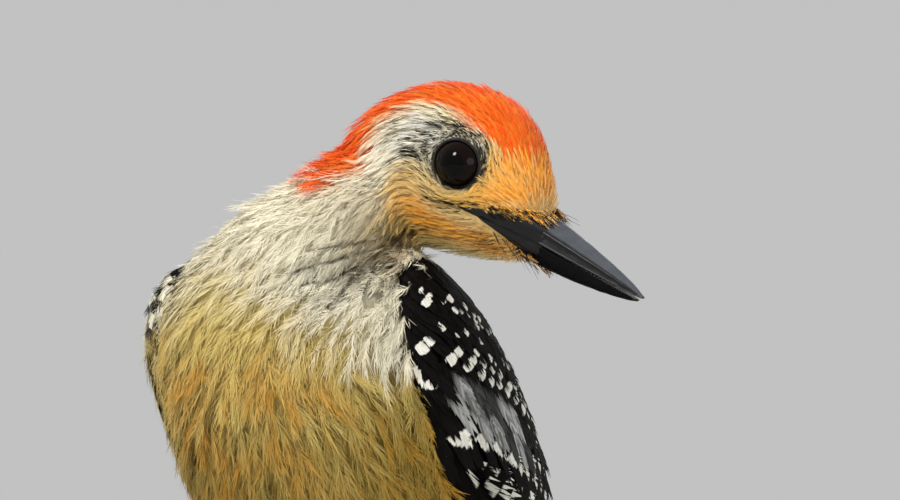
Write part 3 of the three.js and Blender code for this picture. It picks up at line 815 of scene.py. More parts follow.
class Finish:
    """One material, its nodes and its surface shader."""

    def __init__(self, name, **fixed):
        self.material = bpy.data.materials.new(name)
        self.material.use_nodes = True
        self.tree = self.material.node_tree
        self.tree.nodes.clear()
        output = self.tree.nodes.new("ShaderNodeOutputMaterial")
        self.surface = self.tree.nodes.new("ShaderNodeBsdfPrincipled")
        self.tree.links.new(self.surface.outputs[0], output.inputs["Surface"])
        for socket, value in fixed.items():
            self.surface.inputs[socket.replace("_", " ")].default_value = value

    def node(self, kind, settings=None, sockets=None, out=0):
        """Any node: its settings first, then the values or links of its sockets."""
        made = self.tree.nodes.new("ShaderNode" + kind)
        for setting, value in (settings or {}).items():
            setattr(made, setting, value)
        for socket, value in (sockets or {}).items():
            self.feed(made.inputs[socket], value)
        return Tone(self, made.outputs[out])

    def feed(self, socket, value):
        """A link, a colour or a number for a socket."""
        if isinstance(value, Tone):
            self.tree.links.new(value.socket, socket)
        elif isinstance(value, tuple) and len(value) == 3 and socket.type == "RGBA":
            socket.default_value = (*value, 1)
        else:
            socket.default_value = value

    def show(self, **sockets):
        """Feeds what varies to the surface shader, and gives the material."""
        for socket, value in sockets.items():
            self.feed(self.surface.inputs[socket.replace("_", " ")], value)
        return self.material

    def __getitem__(self, name):
        """One of the piece's fields."""
        return self.node("Attribute", {"attribute_name": name}, out="Fac")

    def grain(self, scale, detail=2.0, stretch=None, warp=0.0):
        """Noise from 0 to 1 with `scale` grains to the metre, drawn out where stretch says so."""
        place = self.node("TexCoord", out="Object")
        if stretch is not None:
            place = self.node("Mapping", {}, {"Vector": place, "Scale": stretch})
        return self.node("TexNoise", {}, {"Vector": place, "Scale": scale, "Detail": detail,
                                          "Distortion": warp}, out="Fac")

    def mixed(self, share, first, second, blend="MIX"):
        """A colour between two, by share."""
        return self.node("Mix", {"data_type": "RGBA", "blend_type": blend, "clamp_factor": True},
                         {0: share, 6: first, 7: second}, out=2)

    def bumped(self, height, distance, strength=1.0):
        """A normal from a height. distance is in metres."""
        return self.node("Bump", {}, {"Height": height, "Distance": distance, "Strength": strength})


def ink(red, green, blue):
    """A colour as shown on a screen, 0 to 255, as the linear light that shaders use."""
    return tuple((part / 255 / 12.92) if part <= 10 else ((part / 255 + 0.055) / 1.055) ** 2.4
                 for part in (red, green, blue))


# %% [markdown]
# ## Plumage colours
# Real feathers are grey and downy at the root and take their colour towards the tip. That root colour is also
# painted shade where the coat parts, which gives the dark lines of a ruffled breast. Red comes as red tips
# over amber middles, and black flecks are single feathers with dark ends.

# %% The plumage finish
# The root colour below stands both for real down and for painted shade where the coat parts.
CREAM, WHITE, DOWN_AND_SHADE = ink(218, 198, 122), ink(240, 234, 212), ink(106, 90, 50)
RED_TIP, RED_ROOT, RUST = ink(240, 80, 8), ink(246, 142, 42), ink(244, 140, 44)
AMBER, GOLD, GREY = ink(250, 178, 66), ink(228, 182, 88), ink(160, 148, 108)
GILT, OLIVE, BLUSH = ink(208, 142, 30), ink(136, 109, 20), ink(220, 120, 78)
# The last colour here is painted shade in the creases of the throat.
ASH, SOOT, BLACK, FOLD_SHADE = ink(206, 208, 210), ink(44, 40, 36), ink(14, 12, 12), ink(66, 48, 26)


def plumage(name, skin_only=False):
    """The one finish of coat and skin. On skin there are no barbs, so it stays at a feather's middle."""
    f = Finish(name, Roughness=0.65, Specular_IOR_Level=0.12, Sheen_Weight=0.06, Sheen_Roughness=0.5)
    tone = f["tone"] if not skin_only else f.grain(600)
    strand = f["strand"] if not skin_only else f.grain(2500)
    along = f["along"] if not skin_only else 0.5 + 0 * tone

    colour = f.mixed(f["white"], CREAM, WHITE)
    for share, layer in ((f["ash"] * (0.3 + 0.9 * tone), ASH),
                         (f["grey"] * (0.35 + 0.55 * strand), GREY),
                         (f["olive"] * (0.45 + 0.5 * strand), OLIVE),
                         (f["gilt"] * (0.34 + 0.5 * tone) * along.rising(0.1, 0.9), GILT),
                         (f["blush"] * along.rising(0.4, 1.0) * 0.7, BLUSH),
                         (f["gold"] * (0.6 + 0.5 * strand), GOLD),
                         (f["amber"] * (0.55 + 0.7 * tone), AMBER),
                         (f["rust"] * (0.6 + 0.4 * strand), RUST)):
        colour = f.mixed(share, colour, layer)
    red = f.mixed(along.rising(0.35, 0.95) * (0.45 + 0.75 * tone), RED_ROOT, RED_TIP)
    colour = f.mixed(f["red"].rising(0.25, 0.75), colour, red)

    dice = 0.22 * tone + 0.78 * strand
    flecked = (f["fleck"] - dice).rising(0.0, 0.08) * along.rising(0.42, 0.62)
    colour = f.mixed(flecked, colour, BLACK)
    streaked = (f["streak"] - strand).rising(0.0, 0.05) * along.rising(0.45, 0.7) * 0.8
    colour = f.mixed(streaked, colour, SOOT)

    cell = (f["ladder"] + along * f["climb"] + 0.14 * tone).remainder()
    bars = f.mixed((0.26 - (cell - 0.5).size()).rising(-0.03, 0.03), WHITE, BLACK)
    colour = f.mixed(f["bars"].rising(0.4, 0.6), colour, bars)
    chevron = (along.rising(0.62, 0.68) * along.rising(0.86, 0.8)) * (tone > 0.45)
    colour = f.mixed(f["vent"] * chevron * 0.75, colour, SOOT)

    # Each feather darkens towards its root: real down, and painted shade where the coat parts.
    root_grey_and_shade = along.rising(0.6, 0.15) * f["down"]
    colour = f.mixed(root_grey_and_shade, colour, DOWN_AND_SHADE)
    speckled = f["rim"] * (tone.rising(0.16, 0.30) if not skin_only else 1.0)
    colour = f.mixed(speckled, colour, f.mixed(strand.rising(0.55, 0.95), BLACK, ink(96, 92, 84)))
    # Painted shade: a dark line along each crease of the throat, on top of the real dent in the coat.
    fold_shade = f["fold_shade"] * 0.5
    for number in range(len(CREASES)):
        gap = f[f"fold_{number}"] + FAR_FROM_FOLD * (1 - f["folded"])
        fold_shade = fold_shade + (1 - gap.size()).rising(0.0, 0.8)
    colour = f.mixed(fold_shade * (0.55 + 0.45 * strand), colour, FOLD_SHADE)
    if skin_only:
        colour = f.mixed(f["socket"], colour, ink(52, 48, 44))
    shade = 0.84 + 0.22 * strand + 0.16 * f.grain(420, 2.0)
    colour = f.mixed(1.0, colour, f.node("CombineColor", {}, {0: shade, 1: shade, 2: shade}), "MULTIPLY")
    return f.show(Base_Color=colour)


coat_finish = plumage("plumage")
print("finish:", coat_finish.name, len(coat_finish.node_tree.nodes), "nodes")

# %% [markdown]
# ## Planting the coat
# Feather sizes follow the bird: about three millimetres on the forehead and before the eye, four and a half
# on the crown and thirteen on the belly. Roots that sit deep under a folded wing are left out, as nobody
# will ever see them.

# %% Plant the roots
HEAD_STYLE = dict(barbs=9, first=0.15, last=0.98, lean=(32, 5), swing=0.8, stray=0.4, shrink=0.15, fray=0.09,
                  cup=0.02, twist=0.5, curl=0.2, soft=0.6, steps=(0.0, 0.5, 1.0), taper=(1.0, 0.85, 0.0))
BODY_STYLE = dict(barbs=19, first=0.22, last=0.985, lean=(52, 13), swing=0.8, stray=0.8, shrink=0.2,
                  fray=0.38, cup=0.012, twist=0.8, curl=0.45, soft=0.62, steps=(0.0, 0.38, 0.74, 1.0),
                  taper=(1.0, 0.9, 0.6, 0.0))
BACK_STYLE = dict(BODY_STYLE, stray=0.2, fray=0.08, lean=(52, 8), curl=0.2, cup=0.02, twist=0.3)
TRIES, HEAD_TRIES = 170000, 5.0
COVERED_MARGIN, EYE_CLEAR, WING_CLEAR = 5.0, 4.3, 1.4
GAPE_BACK = -11.5
GAPE_TOP = ((GAPE_BACK, -7.3, -4.0, 1.0, 5.0), (0.6, 1.7, 2.8, 4.6, 5.0))
GAPE_LOW = ((GAPE_BACK, -7.3, -3.3, 0.6, 5.0), (0.3, 0.1, -1.1, -1.8, -2.3))


def at_gape(local):
    """True for places of the head inside the horn of the gape or the bill."""
    x, z = local[:, 0], local[:, 2]
    inside = (z < np.interp(x, *GAPE_TOP)) & (z > np.interp(x, *GAPE_LOW))
    return (x > GAPE_BACK) & inside & (np.abs(local[:, 1]) > 1.5)


def under_wing(points, normals):
    """True for points that a wing covers, unless they are within a margin of the wing's edge."""
    covered = np.zeros(len(points), bool)
    for surface in wing_outer.values():
        for number, (point, normal) in enumerate(zip(points.tolist(), normals.tolist())):
            if not covered[number]:
                hit = surface.tree.ray_cast(Vector(point), Vector(normal), 30.0)
                covered[number] = hit[0] is not None and hit[3] > 0.6
    tree = near_tree(points[~covered])
    for number in np.nonzero(covered)[0]:
        covered[number] = tree.find(points[number].tolist())[2] > COVERED_MARGIN
    return covered


rng = np.random.default_rng(41)
face_run = read_axis(skin_points)[0][hide_faces].mean(axis=1)
tries, try_normals = skin.scattered(TRIES, np.where(face_run < RUN["nape"] + 8, HEAD_TRIES, 1.0), rng)
run = read_axis(tries)[0]
spacing = np.interp(run, [RUN["bill"], RUN["eye"], RUN["nape"], RUN["neck"], RUN["breast"], RUN["tail"]],
                    [0.60, 0.70, 0.82, 1.22, 1.48, 1.8])
local = head.into(tries)
clear = (from_eyes(local) > EYE_CLEAR) & ~at_gape(local) & ~((local[:, 0] > 1.0) & (run < RUN["bill"] + 3))
tries, try_normals = tries[clear], try_normals[clear]
kept = thinned(tries, spacing[clear], rng)
roots, root_normals = tries[kept], try_normals[kept]
bare = under_wing(roots, root_normals)
local = trunk.into(roots)
for surface in wing_outer.values():
    gap = np.linalg.norm(surface.nearest(roots)[0] - roots, axis=1)
    bare |= (local[:, 0] < 14) & (local[:, 2] < 0) & (gap < WING_CLEAR)
roots, root_normals = roots[~bare], root_normals[~bare]
print("roots on the skin:", len(roots))

# %% [markdown]
# The breast feathers of a bird at rest spill over the bend of the folded wing. They are rooted on the wing's
# front, and share the coat's own rules for everything else. On the left wing they are shorter and stand
# higher, so that they lie over the first coverts.

# %% Roots over the bend of the wing
SPILL_TRIES, SPILL_SPACING, SPILL_SUNK, SPILL_RISE = 14000, 1.3, 0.5, 1.1
SPILL = {  # a direction, where the spill starts along it, how far the wing's face has to turn to the front,
    # the rearmost and the highest place on the trunk, and the share of a breast feather's length
    "left": ((0.30, -0.85, -0.43), -13.0, -0.4, 12.0, 6.5, 0.6),
    "right": ((1.0, 0.0, 0.0), 15.5, 0.02, -30.0, 4.5, 1.0)}
spill_roots, spill_normals, size_share = [], [], [np.ones(len(roots))]
for side in ("left", "right"):
    across, edge, least, rearmost, top, share = SPILL[side]
    places, normals = wing_outer[side].scattered(SPILL_TRIES, np.ones(len(wing_outer[side].faces)), rng)
    local = trunk.into(places)
    forward = normals @ trunk.turned((0.60, 0.0, -0.80))
    wanted = (forward > least) & (local[:, 2] < top) & (local[:, 0] > rearmost)
    wanted &= local @ across > edge + 1.5 * drift(places, 3.0, 61)
    places, normals = places[wanted], normals[wanted]
    chosen = thinned(places, np.full(len(places), SPILL_SPACING), rng)
    spill_roots.append(places[chosen] - normals[chosen] * SPILL_SUNK)
    spill_normals.append(normals[chosen])
    size_share.append(np.full(len(chosen), share))
    print("over the wing,", side, len(chosen))
roots = np.vstack([roots] + spill_roots)
root_normals = np.vstack([root_normals] + spill_normals)
size_share = np.concatenate(size_share)

# %% Size the feathers and lay their shafts
SIZES = {  # run, length, reach of the barbs, width of a barb
    "forehead": (RUN["bill"] - 3, 2.4, 1.0, 0.085),
    "lores": (RUN["bill"] + 6, 3.2, 1.3, 0.09),
    "crown": (RUN["eye"], 4.4, 1.7, 0.10),
    "nape": (RUN["nape"], 5.6, 2.1, 0.11),
    "neck": (RUN["neck"], 7.6, 2.9, 0.115),
    "breast": (RUN["breast"], 10.5, 3.7, 0.125),
    "belly": (RUN["belly"], 13.0, 4.1, 0.145),
    "vent": (RUN["tail"], 13.0, 4.0, 0.17),
}
size_runs, lengths, reaches, widths = np.array(list(SIZES.values())).T
run, _, angle, _ = read_axis(roots)
on_body = fade(run, RUN["nape"], RUN["neck"] + 4)
length = np.interp(run, size_runs, lengths) * (1 + 0.14 * rng.normal(0, 1, len(roots))) * size_share
reach = np.interp(run, size_runs, reaches)
width = np.interp(run, size_runs, widths)
fields = markings(roots, roots + root_normals * coat_depth(roots)[:, None])
fields["tone"] = rng.random(len(roots))
fields["climb"] = 0.95 * length / BAR_PERIOD
rise = 0.92 + 0.16 * drift(roots, 4.5, 5) + 0.10 * rng.normal(0, 1, len(roots))
rise += SPILL_RISE * (size_share < 1)
ruffle = (0.08 + 0.30 * on_body) * drift(roots, 3.0, 7)
ruffle += (0.05 + 0.12 * on_body) * rng.normal(0, 1, len(roots))
roll = rng.normal(0, 0.2, len(roots))
shaft_points, shaft_facings = laid(roots, root_normals, length, rise, body_surface, ruffle)

# %% Coat of head, neck, trunk and thighs
FOLD_BOX = (27, 3, -17), (99, 99, 8)  # where the folds can be, in the trunk's axes


def pressed(parts, outward):
    """The parts with the coat pressed in along the creases, and the layers from which the shader paints shade
    along them.
    """
    points, owner = parts[0].copy(), parts[3]
    place = trunk.into(points)
    near = np.nonzero(((place > FOLD_BOX[0]) & (place < FOLD_BOX[1])).all(axis=1))[0]
    gaps = np.full((len(points), len(CREASES)), FAR_FROM_FOLD)
    for first in range(0, len(near), BATCH):
        part = near[first:first + BATCH]
        gaps[part] = crease_gaps(points[part], outward[owner[part]])
    points -= outward[owner] * (FOLD_DEPTH * np.exp(-(0.7 * gaps) ** 2).max(axis=1))[:, None]
    layers = {f"fold_{number}": gaps[:, number] for number in range(len(CREASES))} if len(near) else {}
    layers["folded"] = np.full(len(points), float(len(near) > 0))
    return (points, *parts[1:]), layers


def coat_group(name, mask, order, style):
    """Coat pieces for some of the roots, in runs of neighbours that keep each piece small enough."""
    numbers = np.nonzero(mask)[0]
    numbers = numbers[np.argsort(order[numbers])]
    triangles = len(numbers) * style["barbs"] * 2 * (2 * len(style["steps"]) - 3)
    for part, chosen in enumerate(np.array_split(numbers, max(1, math.ceil(triangles / MOST_TRIANGLES)))):
        parts = barbed(shaft_points[chosen], shaft_facings[chosen], style, reach[chosen], width[chosen],
                       roll[chosen], rng)
        parts, folds = pressed(parts, root_normals[chosen])
        own_fields = {field: values[chosen] for field, values in fields.items()}
        coat_piece(f"{name}_{part + 1}", parts, roots[chosen], own_fields, coat_finish, folds)


on_head = run < RUN["nape"] + 6
coat_group("coat_head", on_head, angle, HEAD_STYLE)
on_back = ~on_head & (fields["bars"] > 0.4)
coat_group("coat_back", on_back, run, BACK_STYLE)
coat_group("coat_body", ~on_head & ~on_back, run, BODY_STYLE)

skin_piece = to_piece("skin", skin_points, hide_faces, plumage("hide", True),
                      markings(skin_points, hide_points))
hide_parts(*FLESH)

# %% [markdown]
# ## Wings
# A folded wing is a stack of stiff feathers in rows: small coverts at the shoulder, then median and greater
# coverts, then the long quills, each row lying over the next. The solids give the outer form of the stack.
# Quills are placed on it by how far back they sit and how high between the wing's lower and upper edge, and
# coverts by how far back and how high they sit on the trunk.

# %% Places on a folded wing
TURN_RADIUS, TURN_SHARE = 6.0, 0.13


class Wing:
    """The outer face of one folded wing. x is millimetres ahead on the trunk, v runs from 0 at the lower
    edge to 1 at the upper edge."""

    def __init__(self, side):
        self.hand = dict(SIDES)[side]
        self.surface = wing_outer[side]
        local = trunk.into(self.surface.points)
        self.grid = np.arange(-90, 40, 2.0)
        slices = [local[np.abs(local[:, 0] - x) < 2.2] for x in self.grid]
        known = [x for x, part in zip(self.grid, slices) if len(part)]
        slices = [part for part in slices if len(part)]
        self.low = np.interp(self.grid, known, [part[:, 2].min() for part in slices])
        self.high = np.interp(self.grid, known, [part[:, 2].max() for part in slices])
        self.outer = np.interp(self.grid, known, [np.abs(part[:, 1]).max() for part in slices])

    def height(self, x, v):
        """How high on the trunk a share v of the wing's width is, at x."""
        low, high = np.interp(x, self.grid, self.low), np.interp(x, self.grid, self.high)
        return low + v * (high - low)

    def at(self, x, z, lift):
        """Points at a lift above the outer face, the normals there, and which of them met the wing. Below
        the turn of the lower edge, z is measured on round it to the underside."""
        turn = self.height(x, TURN_SHARE)
        round_it = np.clip((turn - z) / TURN_RADIUS, 0, math.radians(115))
        z = np.clip(z, turn, self.height(x, 0.98))
        middle = self.hand * (np.interp(x, self.grid, self.outer) - TURN_RADIUS - 1.0)
        away = np.stack([0 * x, self.hand * np.cos(round_it), -np.sin(round_it)], axis=1)
        aims = np.stack([x, middle, z], axis=1)
        starts, inward = trunk.out(aims + 45 * away), trunk.turned(-away)
        points, normals, met = np.empty((len(x), 3)), np.empty((len(x), 3)), np.ones(len(x), bool)
        tree = self.surface.tree
        for number in range(len(x)):
            place, _, face, _ = tree.ray_cast(Vector(starts[number]), Vector(inward[number]), 60.0)
            if place is None:
                met[number] = False
                place, _, face, _ = tree.find_nearest(Vector(trunk.out(aims[number] + 4 * away[number])))
            points[number], normals[number] = place, self.surface.face_normals[face]
        normals = unit(normals - 0.35 * inward)
        return points + normals * lift[:, None], normals, met


def wing_feathers(wing, roots, tips, lifts, bow):
    """Shaft points and normals for feathers from places near the shoulder to places near the tail, given as
    x and z, and which of the feathers lie smoothly on the wing."""
    roots, tips = np.stack(roots, axis=1), np.stack(tips, axis=1)
    middles = (roots + tips) / 2 + np.array([0, bow])
    found = [wing.at(*place.T, lift) for place, lift in zip((roots, middles, tips), lifts)]
    points, facings, met = (np.stack([part[kind] for part in found], axis=1) for kind in range(3))
    long = np.linalg.norm(roots - tips, axis=1)
    span = np.linalg.norm(points[:, 2] - points[:, 0], axis=1)
    sag = np.linalg.norm(points[:, 1] - (points[:, 0] + points[:, 2]) / 2, axis=1)
    smooth = (span < 1.25 * long) & (sag < 0.16 * long)
    return points, facings, met[:, 1] & met[:, 2] & smooth


wings = {side: Wing(side) for side in ("left", "right")}
for side, wing in wings.items():
    print(side, "wing width at the shoulder and the elbow:",
          [round(float(np.interp(x, wing.grid, wing.high - wing.low)), 1) for x in (20, -10)])

# %% [markdown]
# Each kind of wing feather gets its rows, its size and its pattern. The tips of a row stand in a line that
# crosses the wing on a slant, so one number, the slant line s, orders the whole wing: sparse round spots in
# front, two full bands of spots, hooks and loose grey feathers, wedges, then the ladders of the quills.
# The barbs are set close, so the vanes look whole, with the fine saw edge of a real feather.

# %% Wing feather styles and rows
COVERT_STYLE = dict(barbs=20, first=0.12, last=0.98, lean=(50, 8), swing=1.0, stray=0.12, shrink=0.12,
                    fray=0.04, cup=0.035, twist=0.15, curl=0.22, soft=0.35, steps=(0.0, 0.36, 0.72, 1.0),
                    taper=(1.25, 1.15, 0.85, 0.0))
QUILL_STYLE = dict(COVERT_STYLE, barbs=95, first=0.06, last=0.99, lean=(44, 9), swing=1.6, stray=0.06,
                   shrink=0.10, fray=0.02, cup=0.012, twist=0.08, taper=(1.3, 1.25, 0.9, 0.0))
SLANT, LADDER = 1.34, 5.9
HOOKS, WEDGES, GREYS = 1.2, -12.0, (1.2, -5.0)  # s of the tips in the lines that have them
COVERT_LINES = [  # s of the tips, length, half width, step in z, share with a spot, lift
    (12.4, 8.0, 1.55, 2.2, 1.0, 0.0), (8.8, 9.0, 1.65, 2.3, 1.0, -0.05), (1.2, 12.0, 1.9, 2.6, 0.0, -0.1),
    (-5.0, 13.5, 2.3, 2.8, 0.0, -0.2), (-12.0, 17.0, 2.1, 2.8, 1.0, -0.3)]
SMALL_LINES = [(s, 5.2 + 0.09 * (42 - s), 1.2, 1.55, 0.8 if 24 < s < 26 else 0.2, 0.05)
               for s in np.arange(46.0, 14.5, -1.9).tolist()]


def covert_rows(rng, turn):
    """Coverts: x and z of the tip, length, half width, lift, and how much of a round spot, a hook, a wedge
    and grey down each has. Their rows run straight back below the turn of the wing's edge."""
    rows = []
    for line, (s, long, half, step, share, lift) in enumerate(SMALL_LINES + COVERT_LINES):
        for z in np.arange(-28 + 0.5 * step * (line % 2), 22, step).tolist():
            z += rng.normal(0, 0.12 * step)
            x = s - SLANT * max(z, turn) + rng.normal(0, 0.35)
            hooked = float(s == HOOKS and -13.5 < z < -6.4 and round(z / step) % 2 == 0)
            downy = 0.0
            if s in GREYS and -8.5 + 2 * (s > 0) < z < 6.5:
                downy = rng.uniform(0.6, 1.0) if rng.random() < 0.6 else 0.1
            spotted = float(rng.random() < share + 0.15 * (z > 3)) if 5 < s < 28 else 0.0
            wedge = float(s == WEDGES and z > -14)
            rows.append((x, z, long * rng.normal(1, 0.06), half, lift, spotted, hooked, wedge, downy))
    return np.array(rows)


def quill_rows(lowest):
    """Quills from the innermost tertial to the longest primary: x and v of the root, x and v of the tip,
    half width and lift."""
    inner = [(-6 + 12 * share, 0.94 + (lowest - 0.94) * share, -44 - 12 * share, 0.88 - 0.80 * share, 3.8,
              -0.06 * number) for number, share in enumerate(np.linspace(0, 1, 15))]
    outer = [(-20, 0.30 - 0.20 * share, -56 - 31.5 * share, 0.55 - 0.1 * share, 3.4, -0.95 - 0.04 * number)
             for number, share in enumerate(np.linspace(0, 1, 8))]
    return np.array(inner + outer)


# %% The wing finish
def wing_plumage(name):
    f = Finish(name, Roughness=0.6, Specular_IOR_Level=0.06)
    along, vane, tone, strand = (f[field] for field in ("along", "vane", "tone", "strand"))
    black = f.mixed(strand, ink(6, 5, 5), ink(17, 14, 13))
    across = vane.size()
    off = vane + 0.3 * (tone - 0.5)
    spot = (along - 0.84) / 0.11
    spot = (1 - (spot * spot + off * off / 0.27)).rising(0.0, 0.3) * f["spot"]
    hook = (along - 0.84) / 0.09
    hook = (1 - (hook * hook + (vane - 0.1) * (vane - 0.1) / 0.07)).rising(0.0, 0.3)
    stem = (0.16 - (vane + 0.28).size()).rising(0.0, 0.05)
    stem = stem * along.rising(0.50, 0.54) * along.rising(0.88, 0.84)
    hook = (hook + stem) * f["hook"]
    wedge = ((0.93 - along) * 2.2 - off.size()).rising(0.0, 0.08)
    wedge = wedge * along.rising(0.70, 0.73) * f["wedge"]
    cell = (f["ladder"] + along * f["climb"] - 0.55 * across + 0.25 * (tone - 0.5)).remainder()
    rung = (0.20 - (cell - 0.5).size()).rising(0.0, 0.05)
    rung = rung * across.rising(0.26, 0.34) * across.rising(0.92, 0.80) * f["rungs"].rising(0.5, 1)
    pattern = (spot + hook + wedge + rung).clamped()
    colour = f.mixed(pattern, black, f.mixed(strand, ink(214, 212, 200), ink(240, 238, 230)))
    grey = f.mixed(strand, ink(110, 110, 110), ink(216, 216, 214))
    grey = f.mixed((across + 0.7 * along.rising(1.0, 0.4)).rising(0.55, 0.95), grey, black)
    colour = f.mixed(f["downy"] * along.rising(0.35, 0.6), colour, grey)
    return f.show(Base_Color=colour)


wing_finish = wing_plumage("wing_plumage")
VANE_SHARE = 0.78
WING_PATTERNS = ("spot", "hook", "wedge", "downy", "rungs", "ladder", "climb")


def barb_reach(half, lean):
    """The length of barbs that lean by an angle and make a vane of a half width."""
    return half / math.sin(math.radians(lean)) / VANE_SHARE


def wing_fields(count, **patterns):
    """The fields of wing feathers: 0 for every pattern that isn't given, and a random tone."""
    fields = {pattern: patterns.get(pattern, np.zeros(count)) for pattern in WING_PATTERNS}
    return dict(fields, tone=rng.random(count))


# %% Dress both wings
for side, wing in wings.items():
    rows = covert_rows(rng, float(wing.height(5.0, TURN_SHARE)))
    tip_x, tip_z, long, half, lift, spotted, hooked, wedge, downy = rows.T
    turn = wing.height(tip_x, TURN_SHARE)
    kept = (tip_z > turn - 8.0) & (tip_z < wing.height(tip_x, 1.04))
    kept &= (tip_x > wing.grid[0]) & (tip_x + long < 36)
    if side == "right":
        kept &= (tip_z > turn - 0.5) & ((tip_x < 14) | (tip_z > 3.5))
    points, facings, smooth = wing_feathers(wing, (tip_x + long, tip_z + 0.04 * long), (tip_x, tip_z),
                                            (lift - 0.75, lift - 0.1, lift + 0.35), 0.0)
    kept &= smooth
    own = wing_fields(len(long), spot=spotted, hook=hooked, wedge=wedge, downy=downy)
    own = {field: values[kept] for field, values in own.items()}
    parts = barbed(points[kept], facings[kept], COVERT_STYLE, barb_reach(half[kept], 38), long[kept] * 0.05,
                   rng.normal(0, 0.06, kept.sum()), rng)
    coat_piece(f"coverts_{side}", parts, points[kept][:, 0], own, wing_finish)

    x, v, tip_x, tip_v, half, lift = quill_rows({"left": -0.20, "right": 0.05}[side]).T
    z, tip_z = wing.height(x, v), wing.height(tip_x, tip_v)
    points, facings, _ = wing_feathers(wing, (x, z), (tip_x, tip_z),
                                       (lift - 0.6, lift - 0.1, lift + 0.1), -0.3)
    start, end = (x + SLANT * z) / LADDER, (tip_x + SLANT * tip_z) / LADDER
    own = wing_fields(len(x), rungs=np.ones(len(x)), ladder=start, climb=end - start)
    parts = barbed(points, facings, QUILL_STYLE, barb_reach(half, 34), (x - tip_x) * 0.0125,
                   np.zeros(len(x)), rng)
    coat_piece(f"quills_{side}", parts, points[:, 0], own, wing_finish)

    hidden = to_piece(f"wing_form_{side}", core[side], wing_forms[side][2], wing_finish,
                      dict(along=np.full(len(core[side]), 0.1), strand=np.full(len(core[side]), 0.3)))
    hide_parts(f"wing_{side}", f"primaries_{side}")

# %% [markdown]
# ## Tail
# A woodpecker props itself on its tail: ten stiff, pointed quills, the middle pair longest. They are made
# with the quill style, narrower barbs and a pointed end, and fanned as little as a bird at rest fans them.

# %% Tail quills
TAIL_QUILLS, TAIL_ROOT, TAIL_LENGTH = 5, -44.0, 80.0
TAIL_STYLE = dict(QUILL_STYLE, barbs=90, lean=(40, 4), swing=1.3, shrink=0.2, stray=0.04, last=0.995)


def tail_shafts():
    """Shaft points and normals for both halves of the tail, and each quill's half width."""
    points, facings, halves = [], [], []
    for _, hand in SIDES:
        for rank in range(TAIL_QUILLS):
            fan = math.radians(1.6 + 3.2 * rank)
            long = TAIL_LENGTH - 3.6 * rank - 1.3 * rank**2
            root = np.array([TAIL_ROOT, hand * (2.4 + 0.9 * rank), 1.5 - 0.7 * rank + 0.15 * hand])
            ahead = np.array([-math.cos(fan), hand * math.sin(fan), -0.04])
            line = [root + ahead * long * share + np.array([0, 0, bow])
                    for share, bow in ((0.0, 0.0), (0.5, 0.35), (0.995, 0.0))]
            points.append([trunk.out(place) for place in line])
            facings.append([trunk.turned((0, hand * 0.16, 1.0))] * 3)
            halves.append(5.4 - 0.35 * rank)
    return np.array(points), unit(np.array(facings)), np.array(halves)


def quill_ribs(name, points, facings, width, lift, finish, joints=14):
    """The shafts themselves, as slim rounded ribs that taper to the tip."""
    stations = np.linspace(0.0, 0.97, joints)
    share = stations[None, :, None]
    p0, p1, p2 = points[:, None, 0], points[:, None, 1], points[:, None, 2]
    middle = p0 + (-3 * p0 + 4 * p1 - p2) * share + (2 * p0 - 4 * p1 + 2 * p2) * share**2
    ahead = unit(np.gradient(middle, axis=1))
    facing = unit(facings[:, None, 0] * (1 - share) + facings[:, None, 2] * share)
    across = unit(np.cross(facing, ahead))
    half = (width * (1 - 0.8 * stations))[None, :, None] / 2
    edges = [middle + across * half, middle + facing * (lift + half), middle - across * half]
    corners = np.stack(edges, axis=2).reshape(-1, 3)
    starts = np.arange(len(points))[:, None, None] * joints * len(edges)
    faces = (starts + grid_faces(joints, len(edges), closed=False)).reshape(-1, 4)
    return to_piece(name, corners, faces, finish,
                    dict(tone=np.repeat(stations[None], len(points), 0).repeat(3, 1).ravel()))


def tail_plumage(name):
    f = Finish(name, Roughness=0.5, Specular_IOR_Level=0.35)
    along, vane, tone, strand = (f[field] for field in ("along", "vane", "tone", "strand"))
    cell = (along * 13.0 + 0.3 * tone + 0.25 * vane.size()).remainder()
    bars = cell.rising(0.5, 0.56) * cell.rising(1.0, 0.93)
    bars = bars * along.rising(0.12, 0.2) * along.rising(0.93, 0.86)
    colour = f.mixed(bars * f["inner"], f.mixed(strand, BLACK, ink(38, 34, 32)), ink(228, 226, 218))
    return f.show(Base_Color=colour)


def shaft_finish(name, roughness, shine, root):
    """Horn that darkens from the root of a shaft to its tip."""
    f = Finish(name, Roughness=roughness, Specular_IOR_Level=shine)
    return f.show(Base_Color=f.mixed(f["tone"], root, BLACK))


points, facings, halves = tail_shafts()
count = len(points)
PALE_WEBS = [1.0, 0.0, 0.0, 0.9, 0.9]  # by rank, from the middle pair outwards
pale_web = np.array(PALE_WEBS * 2)
parts = barbed(points, facings, TAIL_STYLE, barb_reach(halves, 32), np.full(count, 1.1), np.zeros(count), rng)
tail_piece = coat_piece("tail_quills", parts, points[:, 0], dict(tone=rng.random(count), inner=pale_web),
                        tail_plumage("tail_plumage"))
quill_ribs("tail_shafts", points, facings, 0.9, 0.1, shaft_finish("quill_shaft", 0.35, 0.5, ink(50, 42, 38)))
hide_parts("tail")

# %% [markdown]
# ## Eyes
# The eye decides whether a model looks alive. A woodpecker's eye is a dark, wet ball with a brown iris that
# hardly shows. It sits in a ring of black, finely wrinkled skin. The ball is turned on its axis like a
# lathe turns wood, with a low cornea; the ring is turned the same way and then creased.

